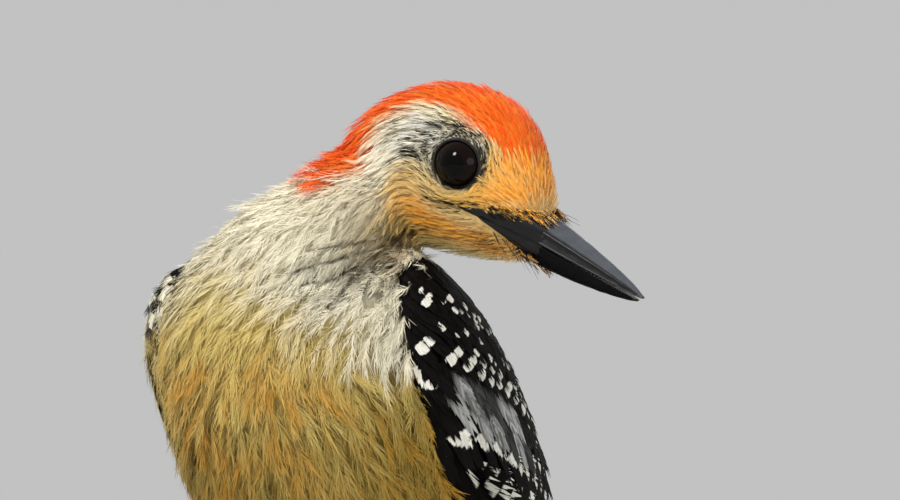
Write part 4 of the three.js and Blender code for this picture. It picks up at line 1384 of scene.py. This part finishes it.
# %% Turn a profile round an axis
def turned_piece(name, centre, axis, out, high, around, finish, layers, crease=None):
    """A part of the eye turned from distances from the axis and heights along it, in millimetres."""
    sideways = unit(np.cross(axis, head.rows[2]))
    upward = np.cross(sideways, axis)
    angles = np.linspace(0, 2 * math.pi, around, endpoint=False)[None]
    rows = len(out)
    out, high = (np.repeat(values[:, None], around, axis=1) for values in (out, high))
    if crease is not None:
        out, high = crease(out, high, angles)
    points = (centre + out[..., None] * (np.cos(angles)[..., None] * sideways
                                         + np.sin(angles)[..., None] * upward) + high[..., None] * axis)
    layers = {layer: np.repeat(values, around) for layer, values in layers.items()}
    return to_piece(name, points.reshape(-1, 3), grid_faces(rows, around), finish, layers)


EYE_RADIUS, EYE_SWELL, LID_OPENING = 4.3, 0.22, 3.95


def eye_finish(name):
    f = Finish(name, Roughness=0.02, Specular_IOR_Level=0.11)
    turn = f["turn"]
    iris = f.mixed(f.grain(1800, 3.0, warp=0.6), ink(8, 3, 3), ink(20, 8, 5))
    colour = f.mixed(turn.rising(0.30, 0.36), ink(2, 2, 2), iris)
    return f.show(Base_Color=f.mixed(turn.rising(0.60, 0.72), colour, ink(6, 4, 4)))


def lid_finish(name):
    f = Finish(name, Roughness=0.45, Specular_IOR_Level=0.3)
    colour = f.mixed(f.grain(2600, 3.0), ink(6, 5, 5), ink(24, 22, 21))
    colour = f.mixed(f["outer"], colour, f.mixed(f.grain(900, 3.0), ink(24, 22, 20), ink(110, 104, 86)))
    return f.show(Base_Color=colour, Normal=f.bumped(f.grain(4200, 2.0), 0.00012, 0.6))


def wrinkled(out, high, angles):
    """Fine creases that run round a lid, broken here and there, and short ones across it."""
    place = (out - LID_OPENING) / 2.0
    height = 0.085 * np.sin(out * 13.0 + 0.9 * np.sin(3 * angles) + 0.6 * np.sin(7 * angles + 1.0))
    height += 0.05 * np.sin(26 * angles + 4 * out) * np.clip(place * 2, 0, 1)
    return out * (1 + 0.012 * np.sin(2 * angles + 0.6)), high + height * np.clip(place * 4, 0, 1)


def eye_axis(centre):
    """The eyes look a little ahead of straight sideways."""
    return unit(unit(centre - between_eyes) + 0.22 * head.rows[0] + 0.02 * head.rows[2])


def lid_height(out):
    """How high a lid stands along the eye's axis, at a distance from that axis."""
    rim = math.sqrt(EYE_RADIUS**2 - LID_OPENING**2)
    return np.interp(out, [3.5, LID_OPENING, 4.08, 4.3, 4.9, 6.4],
                     [rim - 0.3, rim + 0.12, rim + 0.32, rim + 0.05, rim - 0.8, rim - 3.0])


eye_shine, lid_skin = eye_finish("eye_wet"), lid_finish("lid_skin")
for side, centre in (("left", eye_left), ("right", eye_right)):
    axis = eye_axis(centre)
    turn = np.radians(np.linspace(0.5, 150, 60))
    swell = EYE_RADIUS + EYE_SWELL * np.exp(-(turn / 0.55) ** 2)
    ball = turned_piece(f"eyeball_{side}", centre, axis, np.sin(turn) * swell, np.cos(turn) * swell, 72,
                        eye_shine, dict(turn=turn / (math.pi / 2)))
    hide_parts(f"eye_{side}")
    out = np.concatenate([[LID_OPENING - 0.25, LID_OPENING - 0.06], np.linspace(LID_OPENING, 6.4, 34)])[::-1]
    turned_piece(f"eyelid_{side}", centre, axis, out, lid_height(out), 120, lid_skin,
                 dict(outer=fade(out, 4.3, 4.5)), wrinkled)
print("eyes and lids made")

# %% [markdown]
# ## Bill
# The bill is a chisel: straight, black, with a keel along the top, a ridge along each side that starts over
# the nostril, and a sharp cutting edge. It is lofted through shaped sections, because the ridge that
# catches the light has to be a real edge. The tips are worn and do not quite close.

# %% Loft the two halves of the bill
UPPER = np.array([(-12, 4.5, 4.5), (-6, 4.55, 4.8), (0, 4.1, 4.75), (8, 3.3, 3.9), (16, 2.2, 2.6),
                  (21.5, 1.3, 1.4), (24.2, 0.62, 0.42)])  # ahead, half width and height
LOWER = np.array([(-12, 4.1, 4.1), (-5, 4.0, 4.1), (2, 3.6, 3.8), (10, 2.7, 3.1), (17, 1.8, 2.0),
                  (21.5, 1.05, 1.0), (23.4, 0.55, 0.35)])
UPPER_SECTION = [(0, 1.0), (0.10, 0.985), (0.26, 0.90), (0.52, 0.72), (0.78, 0.53), (0.88, 0.45),
                 (0.90, 0.38), (0.905, 0.31), (0.925, 0.22), (0.97, 0.08), (1.0, 0.0), (0.90, -0.05),
                 (0.5, -0.03), (0, -0.03)]
LOWER_SECTION = [(0, -1.0), (0.16, -0.985), (0.42, -0.90), (0.68, -0.70), (0.86, -0.44), (0.95, -0.2),
                 (1.0, 0.0), (0.90, 0.04), (0.5, 0.02), (0, 0.02)]
BILL_SPLIT = 0.3


def bill_half(name, stations, section, lift, finish):
    """A loft of one section, scaled along the bill, with nostrils and small dents of wear."""
    line = smooth_line(stations, 24)
    outline = smooth_line(np.array(section, float), 5)
    ring = np.vstack([outline, outline[1:-1][::-1] * np.array([-1, 1])])
    x = np.repeat(line[:, 0][:, None], len(ring), axis=1)
    y = line[:, 1][:, None] * ring[:, 0][None]
    z = line[:, 2][:, None] * ring[:, 1][None] + lift
    local = np.stack([x, y, z], axis=-1)
    if lift > 0:
        slit = np.exp(-((x - 1.6) / 1.25) ** 2 - ((z - 3.3) / 0.45) ** 2) * (np.abs(y) > 1.2)
        local[..., 1] *= 1 - 0.16 * slit
    points = head.out(local)
    worn = drift(points.reshape(-1, 3), 1.6, 31).reshape(x.shape) * 0.035
    worn *= fade(np.abs(ring[:, 1]), 0.02, 0.3)[None]
    centre = head.out(np.stack([line[:, 0], 0 * line[:, 0], 0 * line[:, 0] + lift], axis=1))[:, None]
    points = points + unit(points - centre) * worn[..., None]
    rows, around = x.shape
    faces = grid_faces(rows, around)
    if lift < 0:
        faces = faces[:, ::-1]
    corners = points.reshape(-1, 3)
    # lit is 1 on the upper face of the section, where the horn finish paints a highlight.
    piece = to_piece(name, np.vstack([corners, points[0].mean(axis=0)[None], points[-1].mean(axis=0)[None]]),
                     faces, finish,
                     dict(run=np.append(np.repeat(line[:, 0], around) / 24.0, [0, 1]),
                          lit=np.append(np.tile(fade(ring[:, 1], 0.50, 0.60), rows), [0, 0])))
    lid = bmesh.new()
    lid.from_mesh(piece.data)
    lid.verts.ensure_lookup_table()
    last = len(corners)
    for start, hub in ((0, last), ((rows - 1) * around, last + 1)):
        for step in range(around):
            corner = [lid.verts[start + step], lid.verts[start + (step + 1) % around], lid.verts[hub]]
            lid.faces.new(corner if (hub == last + 1) == (lift > 0) else corner[::-1]).smooth = True
    lid.to_mesh(piece.data)
    lid.free()
    return piece


def horn(name, shine):
    """Black horn with fine scratches along it and a worn, dusty tip, and a painted blue-grey highlight on its
    upper face.
    """
    f = Finish(name, Specular_IOR_Level=shine)
    run = f["run"]
    streaks = f.grain(500, 4.0, warp=0.4)
    mottle_and_highlight = f.grain(160, 3.0) * 0.6 + streaks * 0.4
    dark = f.mixed(mottle_and_highlight, ink(4, 4, 5), ink(20, 20, 23))
    # Painted highlight: where lit is 1, the upper face turns blue-grey, broken up by noise.
    colour = f.mixed(f["lit"] * (0.30 + 0.9 * mottle_and_highlight), dark, ink(84, 88, 96))
    dusty = run.rising(0.93, 1.0) * f.grain(1500, 2.0).rising(0.45, 0.65)
    colour = f.mixed(dusty * 0.6, colour, ink(120, 104, 84))
    return f.show(Base_Color=colour, Roughness=0.30 + 0.22 * streaks,
                  Normal=f.bumped(streaks * 0.6 + f.grain(2200, 2.0) * 0.4, 0.00010, 0.5))


horn_finish = horn("bill_horn", 0.30)
upper = bill_half("bill_upper_half", UPPER, UPPER_SECTION, BILL_SPLIT, horn_finish)
lower = bill_half("bill_lower_half", LOWER, LOWER_SECTION, -BILL_SPLIT, horn("bill_horn_below", 0.05))
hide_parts("bill_upper")
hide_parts("bill_lower")
print("bill halves:", len(upper.data.polygons), len(lower.data.polygons), "faces")

# %% [markdown]
# Behind the bill the horn runs back in a wedge to the corner of the mouth, under the eye. Short stiff
# feathers stand over the nostril and point forward, others point down from the chin, and a few black
# bristles stand among them.

# %% Horn of the gape
head_outer = Surface(hide_points, hide_faces)


def side_of_head(local, hand):
    """How far out the head or the bill is at x and z of the head's axes."""
    inward = Vector(head.turned((0, -hand, 0)))
    across = np.zeros(len(local))
    for number, (x, _, z) in enumerate(local.tolist()):
        start = Vector(head.out((x, hand * 30, z)))
        place, _, _, _ = head_outer.tree.ray_cast(start, inward, 29.0)
        if place is not None:
            across[number] = abs(float(head.into(np.array([place]))[0, 1]))
    half, high = (np.where(local[:, 2] > 0, np.interp(local[:, 0], UPPER[:, 0], UPPER[:, column]),
                           np.interp(local[:, 0], LOWER[:, 0], LOWER[:, column])) for column in (1, 2))
    bill = half * np.sqrt(np.clip(1 - (local[:, 2] / high) ** 2, 0, 1))
    return np.maximum(across - 0.35, bill)


GAPE_STEPS, GAPE_ROWS = 70, 25
for side, hand in SIDES:
    x = np.repeat(np.linspace(GAPE_BACK, 5.0, GAPE_STEPS)[:, None], GAPE_ROWS, axis=1)
    share = np.repeat(np.linspace(-0.12, 1.12, GAPE_ROWS)[None], GAPE_STEPS, axis=0)
    top = np.minimum(np.interp(x, *GAPE_TOP), np.interp(x, [-4, 1, 5], [9.0, 3.4, 2.6]))
    low = np.interp(x, *GAPE_LOW)
    z = low + share * (top - low)
    local = np.stack([x, 0 * x, z], axis=-1).reshape(-1, 3)
    across = side_of_head(local, hand).reshape(x.shape)
    for _ in range(6):
        across[1:-1] = (across[:-2] + 2 * across[1:-1] + across[2:]) / 4
        across[:, 1:-1] = (across[:, :-2] + 2 * across[:, 1:-1] + across[:, 2:]) / 4
    mouth = np.interp(x, [GAPE_BACK, 1.0, 5.0], [0.45, 0.0, 0.0])
    across -= 0.40 * np.exp(-((z - mouth) / 0.22) ** 2) * fade(x, 5.0, 2.0)
    across += 0.10 * drift(np.stack([x, z * 2.5, 0 * x], axis=-1).reshape(-1, 3), 1.5, 71).reshape(x.shape)
    across -= 1.4 * fade(np.abs(share - 0.5), 0.42, 0.62)
    across -= 1.2 * fade(x, 3.2, 5.0) + 1.0 * fade(x, -10.8, GAPE_BACK)
    points = head.out(np.stack([x, hand * across, z], axis=-1)).reshape(-1, 3)
    faces = grid_faces(GAPE_STEPS, GAPE_ROWS, closed=False)
    faces = faces if hand > 0 else faces[:, ::-1]
    # The upper edge of the gape gets half of the bill's painted highlight.
    to_piece(f"gape_{side}", points, faces, horn_finish,
             dict(run=0 * x.ravel(), lit=(0.5 * fade(z, 2.2, 3.4)).ravel()))
print("gape made")

# %% Tufts over the nostril and on the chin
TUFT_STYLE = dict(HEAD_STYLE, first=0.1, lean=(24, 4), fray=0.12, stray=0.5)
NASAL_FEATHERS, CHIN_FEATHERS = 110, 50


def tuft(name, roots, ahead, out, long, fields, bend, reach, width, roll):
    """Short stiff feathers that go straight ahead. bend is how far the middle stands out and the tip dips."""
    count, long = len(roots), long[:, None]
    points = np.stack([roots, roots + (ahead + bend[0] * out) * long / 2,
                       roots + (ahead - bend[1] * out) * long], axis=1)
    parts = barbed(points, np.repeat(out[:, None], 3, axis=1), TUFT_STYLE, np.full(count, reach),
                   np.full(count, width), rng.normal(0, roll, count), rng)
    coat_piece(name, parts, roots, fields, coat_finish)


def face_tuft(name, places, directions, lengths, fields):
    """A tuft at places of the head's axes, in directions of its own."""
    out = unit(places * np.array([0.0, 1.0, 1.0]))
    tuft(name, head.out(places), head.turned(unit(np.array(directions))), head.turned(out), np.array(lengths),
         fields, (0.08, 0.06), 1.0, 0.09, 0.4)


def tuft_fields(roots):
    """The coat's markings at the roots, with a tone for each feather."""
    return dict(markings(roots, roots), tone=rng.random(len(roots)))


places, directions, lengths = [], [], []
for _, hand in SIDES:
    x = rng.uniform(-7.5, 0.8, NASAL_FEATHERS)
    z = np.interp(x, *GAPE_TOP) + rng.uniform(-0.1, 1.5, NASAL_FEATHERS)
    across = side_of_head(np.stack([x, 0 * x, z], axis=1), hand) - 0.5
    places += np.stack([x, hand * across, z], axis=1).tolist()
    directions += np.stack([0 * x + 1.0, hand * rng.uniform(-0.45, -0.15, NASAL_FEATHERS),
                            rng.uniform(-0.35, 0.0, NASAL_FEATHERS)], axis=1).tolist()
    lengths += rng.uniform(1.7, 3.2, NASAL_FEATHERS).tolist()
places = np.array(places)
own = tuft_fields(head.out(places))
own["amber"] = np.clip(own["amber"] + 0.3, 0, 1)
own["fleck"] = np.clip(own["fleck"] + 0.5, 0, 1)
# Dark roots: real down and painted shade between the small feathers.
own["down"] = 0.9 + 0 * own["tone"]
face_tuft("nasal_tufts", places, directions, lengths, own)

places, directions, lengths = [], [], []
for _ in range(CHIN_FEATHERS):
    x, turn = rng.uniform(-4.0, 3.5), rng.uniform(-1.0, 1.0)
    half, deep = np.interp(x, LOWER[:, 0], LOWER[:, 1]), np.interp(x, LOWER[:, 0], LOWER[:, 2])
    places.append((x, half * math.sin(turn), -0.3 - 0.92 * deep * math.cos(turn)))
    directions.append((1.0, 0.25 * math.sin(turn), rng.uniform(-0.75, -0.2)))
    lengths.append(rng.uniform(1.4, 2.8))
places = np.array(places)
own = tuft_fields(head.out(places))
own["olive"], own["fleck"] = 0.6 + 0 * own["tone"], 0.4 + 0 * own["tone"]
face_tuft("chin_tufts", places, directions, lengths, own)

# %% Fine feathers round the eyes
roots, normals = [], []
for centre in (eye_left, eye_right):
    axis = eye_axis(centre)
    sideways = unit(np.cross(axis, head.rows[2]))
    for out in np.arange(4.32, 6.2, 0.3):
        turn = np.linspace(0, 2 * math.pi, round(11 * out), endpoint=False)
        turn = (turn + rng.normal(0, 0.04, len(turn)))[:, None]
        radial = np.cos(turn) * sideways + np.sin(turn) * np.cross(sideways, axis)
        ring = centre + (out + rng.normal(0, 0.08, turn.shape)) * radial + (lid_height(out) - 0.12) * axis
        facing = unit(0.7 * axis + 0.7 * radial)
        for number, place in enumerate(ring):
            found, _, face, _ = skin.tree.ray_cast(Vector(place + 6 * axis), Vector(-axis), 6.0)
            if found is not None:
                ring[number], facing[number] = found, skin.face_normals[face]
        roots.append(ring)
        normals.append(facing)
roots, normals = np.vstack(roots), np.vstack(normals)
ahead = unit(flow_at(roots, normals) + 0.12 * normals)
long = rng.uniform(1.3, 2.1, len(roots))
own = tuft_fields(roots)
own["white"] = np.clip(own["white"] + 0.3, 0, 1)
# Dark roots: real down and painted shade between the small feathers.
own["down"] = 0.9 + 0 * own["down"]
tuft("eye_tufts", roots, ahead, normals, long, own, (0.16, 0.05), 0.62, 0.07, 0.3)
print("fine feathers round the eyes:", len(roots))

# %% Bristles
BRISTLES = 44
starts, ends, outs = [], [], []
for number in range(BRISTLES):
    hand = 1 if number % 2 else -1
    x = rng.uniform(-6.0, 2.5)
    above = number % 4 < 2
    z = np.interp(x, *(GAPE_TOP if above else GAPE_LOW)) + (0.5 if above else -0.5)
    across = side_of_head(np.array([[x, 0, z]]), hand)[0] - 0.4
    inward = hand * rng.uniform(-0.25, 0.15)
    ahead = unit((1.0, inward, rng.uniform(-0.3, 0.1) if above else rng.uniform(-0.8, -0.3)))
    starts.append(head.out((x, hand * across, z)))
    ends.append(starts[-1] + head.turned(ahead) * rng.uniform(3.0, 6.0))
    outs.append(head.turned((0, hand, 0.4)))
starts, ends, outs = np.array(starts), np.array(ends), unit(np.array(outs))
points = np.stack([starts, (starts + ends) / 2 + 0.4 * outs, ends], axis=1)
quill_ribs("bristles", points, np.repeat(outs[:, None], 3, axis=1), 0.13, 0.02,
           shaft_finish("bristle", 0.5, 0.3, ink(24, 20, 18)), 6)
print("bristles:", len(points))

# %% [markdown]
# ## Legs and feet
# A woodpecker's foot holds on with two toes forward and two back. The tarsi and toes are covered with
# plates in front and fine grains behind; the claws are smooth and strongly hooked. A tube swept along a
# curve is the natural start, and a small relief function raises the plates, so their edges are real.

# %% The perch's own axes
PERCH_TILT, PERCH_BELOW, PERCH_AHEAD, PERCH_RADIUS = math.radians(4), 62.0, -8.0, 9.0
perch_across = trunk_left * math.cos(PERCH_TILT) - np.array([0, 0, 1]) * math.sin(PERCH_TILT)
flat_ahead = unit(trunk_ahead * np.array([1, 1, 0]))
perch_middle = trunk.origin + flat_ahead * PERCH_AHEAD - np.array([0, 0, PERCH_BELOW])
perch = Axes(perch_middle, perch_across, (0, 0, 1))
corners = perch.into(corners_of("perch"))
print("perch from its axes:", corners.min(axis=0).round(1), corners.max(axis=0).round(1))

# %% Sweep tubes with relief
def swept(name, line, radii, outward, around, finish, relief=None):
    """A closed tube along a line of points. outward gives the direction of angle 90 degrees at each point."""
    line, radii = np.asarray(line, float), np.asarray(radii, float)
    ahead = unit(np.gradient(line, axis=0))
    up = unit(outward - ahead * dot(outward, ahead))
    side = np.cross(up, ahead)
    run = np.concatenate([[0], np.cumsum(np.linalg.norm(np.diff(line, axis=0), axis=1))])
    angles = np.linspace(0, 2 * math.pi, around, endpoint=False)[None, :]
    size = np.repeat(radii[:, None], around, axis=1)
    if relief is not None:
        size = size + relief(run[:, None], angles) * fade(np.minimum(run, run[-1] - run), 0, 0.4)[:, None]
    points = (line[:, None] + size[..., None] * (np.cos(angles)[..., None] * side[:, None]
                                                 + np.sin(angles)[..., None] * up[:, None]))
    quads = grid_faces(len(line), around)
    step, hub = np.arange(around), len(line) * around
    after = (step + 1) % around
    caps = [np.stack([after, step, np.full(around, hub)], axis=1),
            np.stack([hub - around + step, hub - around + after, np.full(around, hub + 1)], axis=1)]
    points = np.vstack([points.reshape(-1, 3), line[:1], line[-1:]])
    faces = np.vstack([quads[:, [0, 1, 2]], quads[:, [0, 2, 3]]] + caps)
    return to_piece(name, points, faces, finish,
                    dict(run=np.append(np.repeat(run, around), [0, run[-1]])))


PLATE_LENGTH = 1.15


def plates(run, angles):
    """Broad plates on the front of a toe or tarsus, fine grains behind, both raised from the tube."""
    front = fade(np.sin(angles), -0.1, 0.45)
    plate = 0.13 * (1 - (run / PLATE_LENGTH) % 1.0) ** 0.7
    grain = 0.06 * np.abs(np.sin(run * 4.2) * np.sin(angles * 9))
    return plate * front + (grain + 0.05) * (1 - front)


def leg_finish(name):
    f = Finish(name, Roughness=0.55, Specular_IOR_Level=0.4)
    edge = (f["run"] / PLATE_LENGTH).remainder().rising(0.75, 1.0)
    colour = f.mixed(f.grain(700, 3.0), ink(96, 98, 88), ink(132, 134, 120))
    colour = f.mixed(edge * 0.6, colour, ink(58, 58, 52))
    return f.show(Base_Color=colour, Normal=f.bumped(f.grain(2600, 2.0), 0.0001, 0.5))


def claw_finish(name):
    f = Finish(name, Roughness=0.32, Specular_IOR_Level=0.5)
    colour = f.mixed(f.grain(500, 3.0, warp=0.5), ink(40, 38, 38), ink(78, 74, 70))
    return f.show(Base_Color=colour, Normal=f.bumped(f.grain(1500, 2.0), 0.00008, 0.4))


# %% Tarsi, toes and claws
TOES = {"toe_2": (1, -3.6, 72), "toe_3": (1, 3.2, 92), "toe_4": (-1, 4.6, 88), "toe_1": (-1, -3.0, 50)}
FOOT_APART, HEEL_BACK, HEEL_UP, TOE_THICK, CLAW_THICK = 11.0, 8.0, 19.0, 1.55, 1.0
leg_scales, claw_horn = leg_finish("leg_scales"), claw_finish("claw_horn")


def outward_of(line):
    """Directions away from the middle of the perch."""
    away = line - perch.origin
    return unit(away - perch.rows[0] * (away @ perch.rows[0])[:, None])


def round_perch(toe, hand, share, lift):
    """A place on a toe's way round the perch, at a share of that way."""
    forwards, aside, to = TOES[toe]
    angle = forwards * math.radians(to) * share
    reach = PERCH_RADIUS + TOE_THICK * 0.8 + lift
    return perch.out((hand * (FOOT_APART + aside * (0.25 + 0.75 * share)),
                      -math.sin(angle) * reach, math.cos(angle) * reach))


for side, hand in SIDES:
    sole = perch.out((hand * FOOT_APART, 0, PERCH_RADIUS + 1.4))
    heel = sole + perch.rows[1] * HEEL_BACK + np.array([0, 0, HEEL_UP])
    line = smooth_line([sole, sole + (heel - sole) * 0.45 + flat_ahead * 0.3, heel], 40)
    radii = np.interp(np.linspace(0, 1, len(line)), [0, 0.16, 0.55, 1], [2.3, 1.85, 1.5, 1.9])
    shank = swept(f"shank_{side}", line, radii, np.repeat(flat_ahead[None], len(line), axis=0), 28,
                  leg_scales, plates)
    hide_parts(f"tarsus_{side}")
    for toe, (_, _, to) in TOES.items():
        knots = [round_perch(toe, hand, share, 1.2 * (1 - share) + 0.5 * math.sin(3 * math.pi * share))
                 for share in (0, 0.25, 0.5, 0.75, 1)]
        line = smooth_line(knots, 16)
        share = np.linspace(0, 1, len(line))
        radii = TOE_THICK * (1 - 0.22 * share) * (1 + 0.07 * np.cos(share * 6 * math.pi))
        radii *= np.sqrt(np.clip(1 - ((share - 0.94) / 0.06).clip(0, 1) ** 2 * 0.5, 0, 1))
        digit = swept(f"digit_{toe}_{side}", line, radii, outward_of(line), 24, leg_scales,
                      plates)
        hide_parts(f"{toe}_{side}")
        hooked = ((0.95, 0.15), (1 + 9 / to, 1.3), (1 + 20 / to, 1.25), (1 + 31 / to, -0.1))
        line = smooth_line([round_perch(toe, hand, share, lift) for share, lift in hooked], 12)
        share = np.linspace(0, 1, len(line))
        radii = CLAW_THICK * (1.08 - 0.98 * share**1.25)
        claw = swept(f"hook_{toe}_{side}", line, radii, outward_of(line), 18, claw_horn)
        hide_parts(f"claw_{toe}_{side}")
print("feet made")

# %% [markdown]
# ## Perch and stand
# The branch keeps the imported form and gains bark: long shallow furrows, a few lenticels, and two sawn ends
# with rings. Bark is pushed inwards only, so that the toes keep their hold. The base is turned wood and the
# rods are brushed steel, as on a plain museum mount.

# %% Bark
FURROW_DEPTH, FLAKE_DEPTH = 0.42, 0.25
bark_points, bark_normals, bark_faces = fused(("perch",), grow=0.0, voxel=0.75, rounds=2)
local = perch.into(bark_points)
furrow = np.abs(drift(local * np.array([0.30, 1.0, 1.0]), 1.7, 51)) ** 0.7
flake = drift(local, 6.0, 53) * 0.5 + 0.5
branch_end = np.abs(local[:, 0]).max()
sawn = fade(np.abs(local[:, 0]), branch_end - 1.1, branch_end - 0.5)
depth = (FURROW_DEPTH * (1 - furrow.clip(0, 1)) + FLAKE_DEPTH * flake) * (1 - sawn)
bark_points = bark_points - bark_normals * depth[:, None]


def bark_finish(name):
    f = Finish(name, Roughness=0.82, Specular_IOR_Level=0.25)
    colour = f.mixed(f.grain(90, 4.0), ink(118, 96, 82), ink(150, 128, 112))
    # Painted shade: the bark darkens where it is pushed in deepest, in the furrows.
    colour = f.mixed(f["deep"].rising(0.25, 0.75), colour, ink(64, 50, 42))
    pores = f.grain(420, 1.0, stretch=(1.0, 1.0, 2.5)).rising(0.68, 0.74)
    colour = f.mixed(pores * 0.7, colour, ink(176, 152, 130))
    lichen = f.grain(70, 3.0).rising(0.60, 0.68) * f.grain(900, 2.0).rising(0.45, 0.6)
    colour = f.mixed(lichen * 0.55, colour, ink(150, 158, 132))
    rings = (f["ring"] * 1.1 + 0.5 * f.grain(120, 2.0)).remainder()
    wood = f.mixed(rings.rising(0.55, 0.95), ink(206, 178, 138), ink(160, 126, 88))
    colour = f.mixed(f["sawn"].rising(0.4, 0.6), colour, wood)
    return f.show(Base_Color=colour, Normal=f.bumped(f.grain(1300, 3.0), 0.0003, 0.5))


perch_piece = to_piece("perch_branch", bark_points, bark_faces, bark_finish("bark"),
                       dict(deep=depth / (FURROW_DEPTH + FLAKE_DEPTH), sawn=sawn,
                            ring=np.hypot(local[:, 1], local[:, 2])))
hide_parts("perch")
print("bark:", len(bark_points), "points")

# %% Base and rods
def lathe_in_room(name, centre, profile, around, finish):
    """A piece turned about a vertical axis from (radius, height) pairs in millimetres."""
    profile = np.asarray(profile, float)
    angles = np.linspace(0, 2 * math.pi, around, endpoint=False)
    points = np.stack([profile[:, :1] * np.cos(angles), profile[:, :1] * np.sin(angles),
                       np.repeat(profile[:, 1:], around, axis=1)], axis=-1) + centre
    return to_piece(name, points.reshape(-1, 3), grid_faces(len(profile), around), finish)


def wood_finish(name):
    f = Finish(name, Roughness=0.38, Specular_IOR_Level=0.45, Coat_Weight=0.25, Coat_Roughness=0.2)
    rings = (f.grain(26, 2.0, stretch=(1.0, 5.0, 1.0), warp=0.8) * 9).remainder()
    pores = f.grain(900, 2.0, stretch=(0.08, 1.0, 1.0)).rising(0.55, 0.7)
    colour = f.mixed(rings.rising(0.2, 0.9), ink(70, 45, 28), ink(98, 64, 40))
    colour = f.mixed(pores * 0.5, colour, ink(40, 25, 16))
    return f.show(Base_Color=colour, Normal=f.bumped(pores, 0.00006, 0.4))


def steel_finish(name):
    f = Finish(name, Metallic=1.0)
    brushed = f.grain(1500, 2.0, stretch=(1.0, 1.0, 0.02))
    return f.show(Base_Color=f.mixed(brushed, ink(150, 152, 154), ink(186, 188, 190)),
                  Roughness=0.26 + 0.18 * brushed)


FOOT_EDGE = [(2.0, 0.0), (0.8, 0.5), (0.1, 1.5), (0.0, 2.6)]  # in from the rim, up from the floor
TOP_EDGE = [(0.0, 5.0), (0.3, 4.4), (1.1, 4.0), (1.3, 3.4), (1.5, 2.2), (2.3, 1.0), (3.6, 0.25),
            (5.2, 0.0)]  # in from the rim, down from the top
COLLAR = [(2.1, 0.0), (2.2, 0.3), (2.2, 1.6), (2.0, 2.0), (1.25, 2.2), (1.06, 2.7), (1.0, 3.4)]
ROD_SUNK = 1.5

base_high = box_of("stand_base")[1] * MM
base_radius, base_top = base_high[0], base_high[2]
base_profile = [(0, 0)] + [(base_radius - inset, up) for inset, up in FOOT_EDGE]
base_profile += [(base_radius - inset, base_top - down) for inset, down in TOP_EDGE]
base_profile += [(0.5, base_top), (0, base_top)]
base_piece = lathe_in_room("stand_base_turned", np.zeros(3), base_profile, 160, wood_finish("walnut"))
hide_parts("stand_base")
steel = steel_finish("brushed_steel")
for side in ("left", "right"):
    low, high = box_of(f"stand_rod_{side}") * MM
    centre = np.array([(low[0] + high[0]) / 2, (low[1] + high[1]) / 2, 0])
    radius = (high[0] - low[0]) / 2
    foot, top = low[2], high[2] + ROD_SUNK
    profile = [(0, foot)] + [(radius * wide, foot + up) for wide, up in COLLAR]
    profile += [(radius, (foot + top) / 2), (radius, top), (0, top)]
    rod = lathe_in_room(f"stand_rod_turned_{side}", centre, profile, 48, steel)
    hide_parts(f"stand_rod_{side}")
print("stand made, base radius", round(float(base_radius), 1))

# %% [markdown]
# ## Camera, light and floor
# The camera looks level at the bird's head and shoulders through a long lens, as a bird is watched from
# afar. Light comes from a broad, soft source high on the left, with a weaker one opposite and a third
# behind, over a plain pale floor.

# %% Camera
FAR, AIM, FRAME_WIDTH = 2000.0, (11.8, -40.0, 154.0), 155.2
camera_data = bpy.data.cameras.new("camera")
camera_data.sensor_width = 36.0
camera_data.lens = 36.0 * FAR / FRAME_WIDTH
camera_data.clip_end = 60.0
camera = placed("camera", camera_data)
camera.location = (AIM[0] / MM, (AIM[1] - FAR) / MM, AIM[2] / MM)
camera.rotation_euler = (math.pi / 2, 0, 0)
bpy.context.scene.camera = camera

# %% Lights and floor
def soft_light(name, place, size, watts, colour):
    """A round lamp that looks at the middle of the bird."""
    lamp = bpy.data.lights.new(name, "AREA")
    lamp.shape, lamp.size, lamp.energy, lamp.color = "DISK", size, watts, colour
    holder = placed(name, lamp)
    holder.location = place
    aim = Vector((0.0, -0.03, 0.14)) - Vector(place)
    holder.rotation_euler = aim.to_track_quat("-Z", "Y").to_euler()


soft_light("key", (-0.45, -0.80, 1.15), 0.32, 15.0, (1.0, 0.97, 0.92))
soft_light("fill", (0.95, -0.80, 0.30), 0.7, 3.0, (0.95, 0.97, 1.0))
soft_light("back", (0.35, 0.95, 0.80), 0.9, 4.0, (1.0, 0.98, 0.95))
world = bpy.data.worlds.new("studio")
bpy.context.scene.world = world
world.use_nodes = True
world.node_tree.nodes["Background"].inputs["Color"].default_value = (0.86, 0.87, 0.86, 1)
world.node_tree.nodes["Background"].inputs["Strength"].default_value = 0.62
bpy.context.scene.view_settings.view_transform = "Standard"

floor_finish = Finish("studio_floor", Roughness=0.85, Specular_IOR_Level=0.2)
floor_finish.show(Base_Color=floor_finish.mixed(floor_finish.grain(4), ink(196, 196, 192),
                                                ink(202, 201, 198)))
FLOOR_REACH, FLOOR_CORNERS = 4.2, 96
turns = [2 * math.pi * step / FLOOR_CORNERS for step in range(FLOOR_CORNERS)]
rim = [(FLOOR_REACH * math.cos(turn), FLOOR_REACH * math.sin(turn), 0) for turn in turns]
floor_mesh = bpy.data.meshes.new("floor")
floor_mesh.from_pydata(rim, [], [tuple(range(FLOOR_CORNERS))])
floor_mesh.materials.append(floor_finish.material)
floor = placed("floor", floor_mesh)
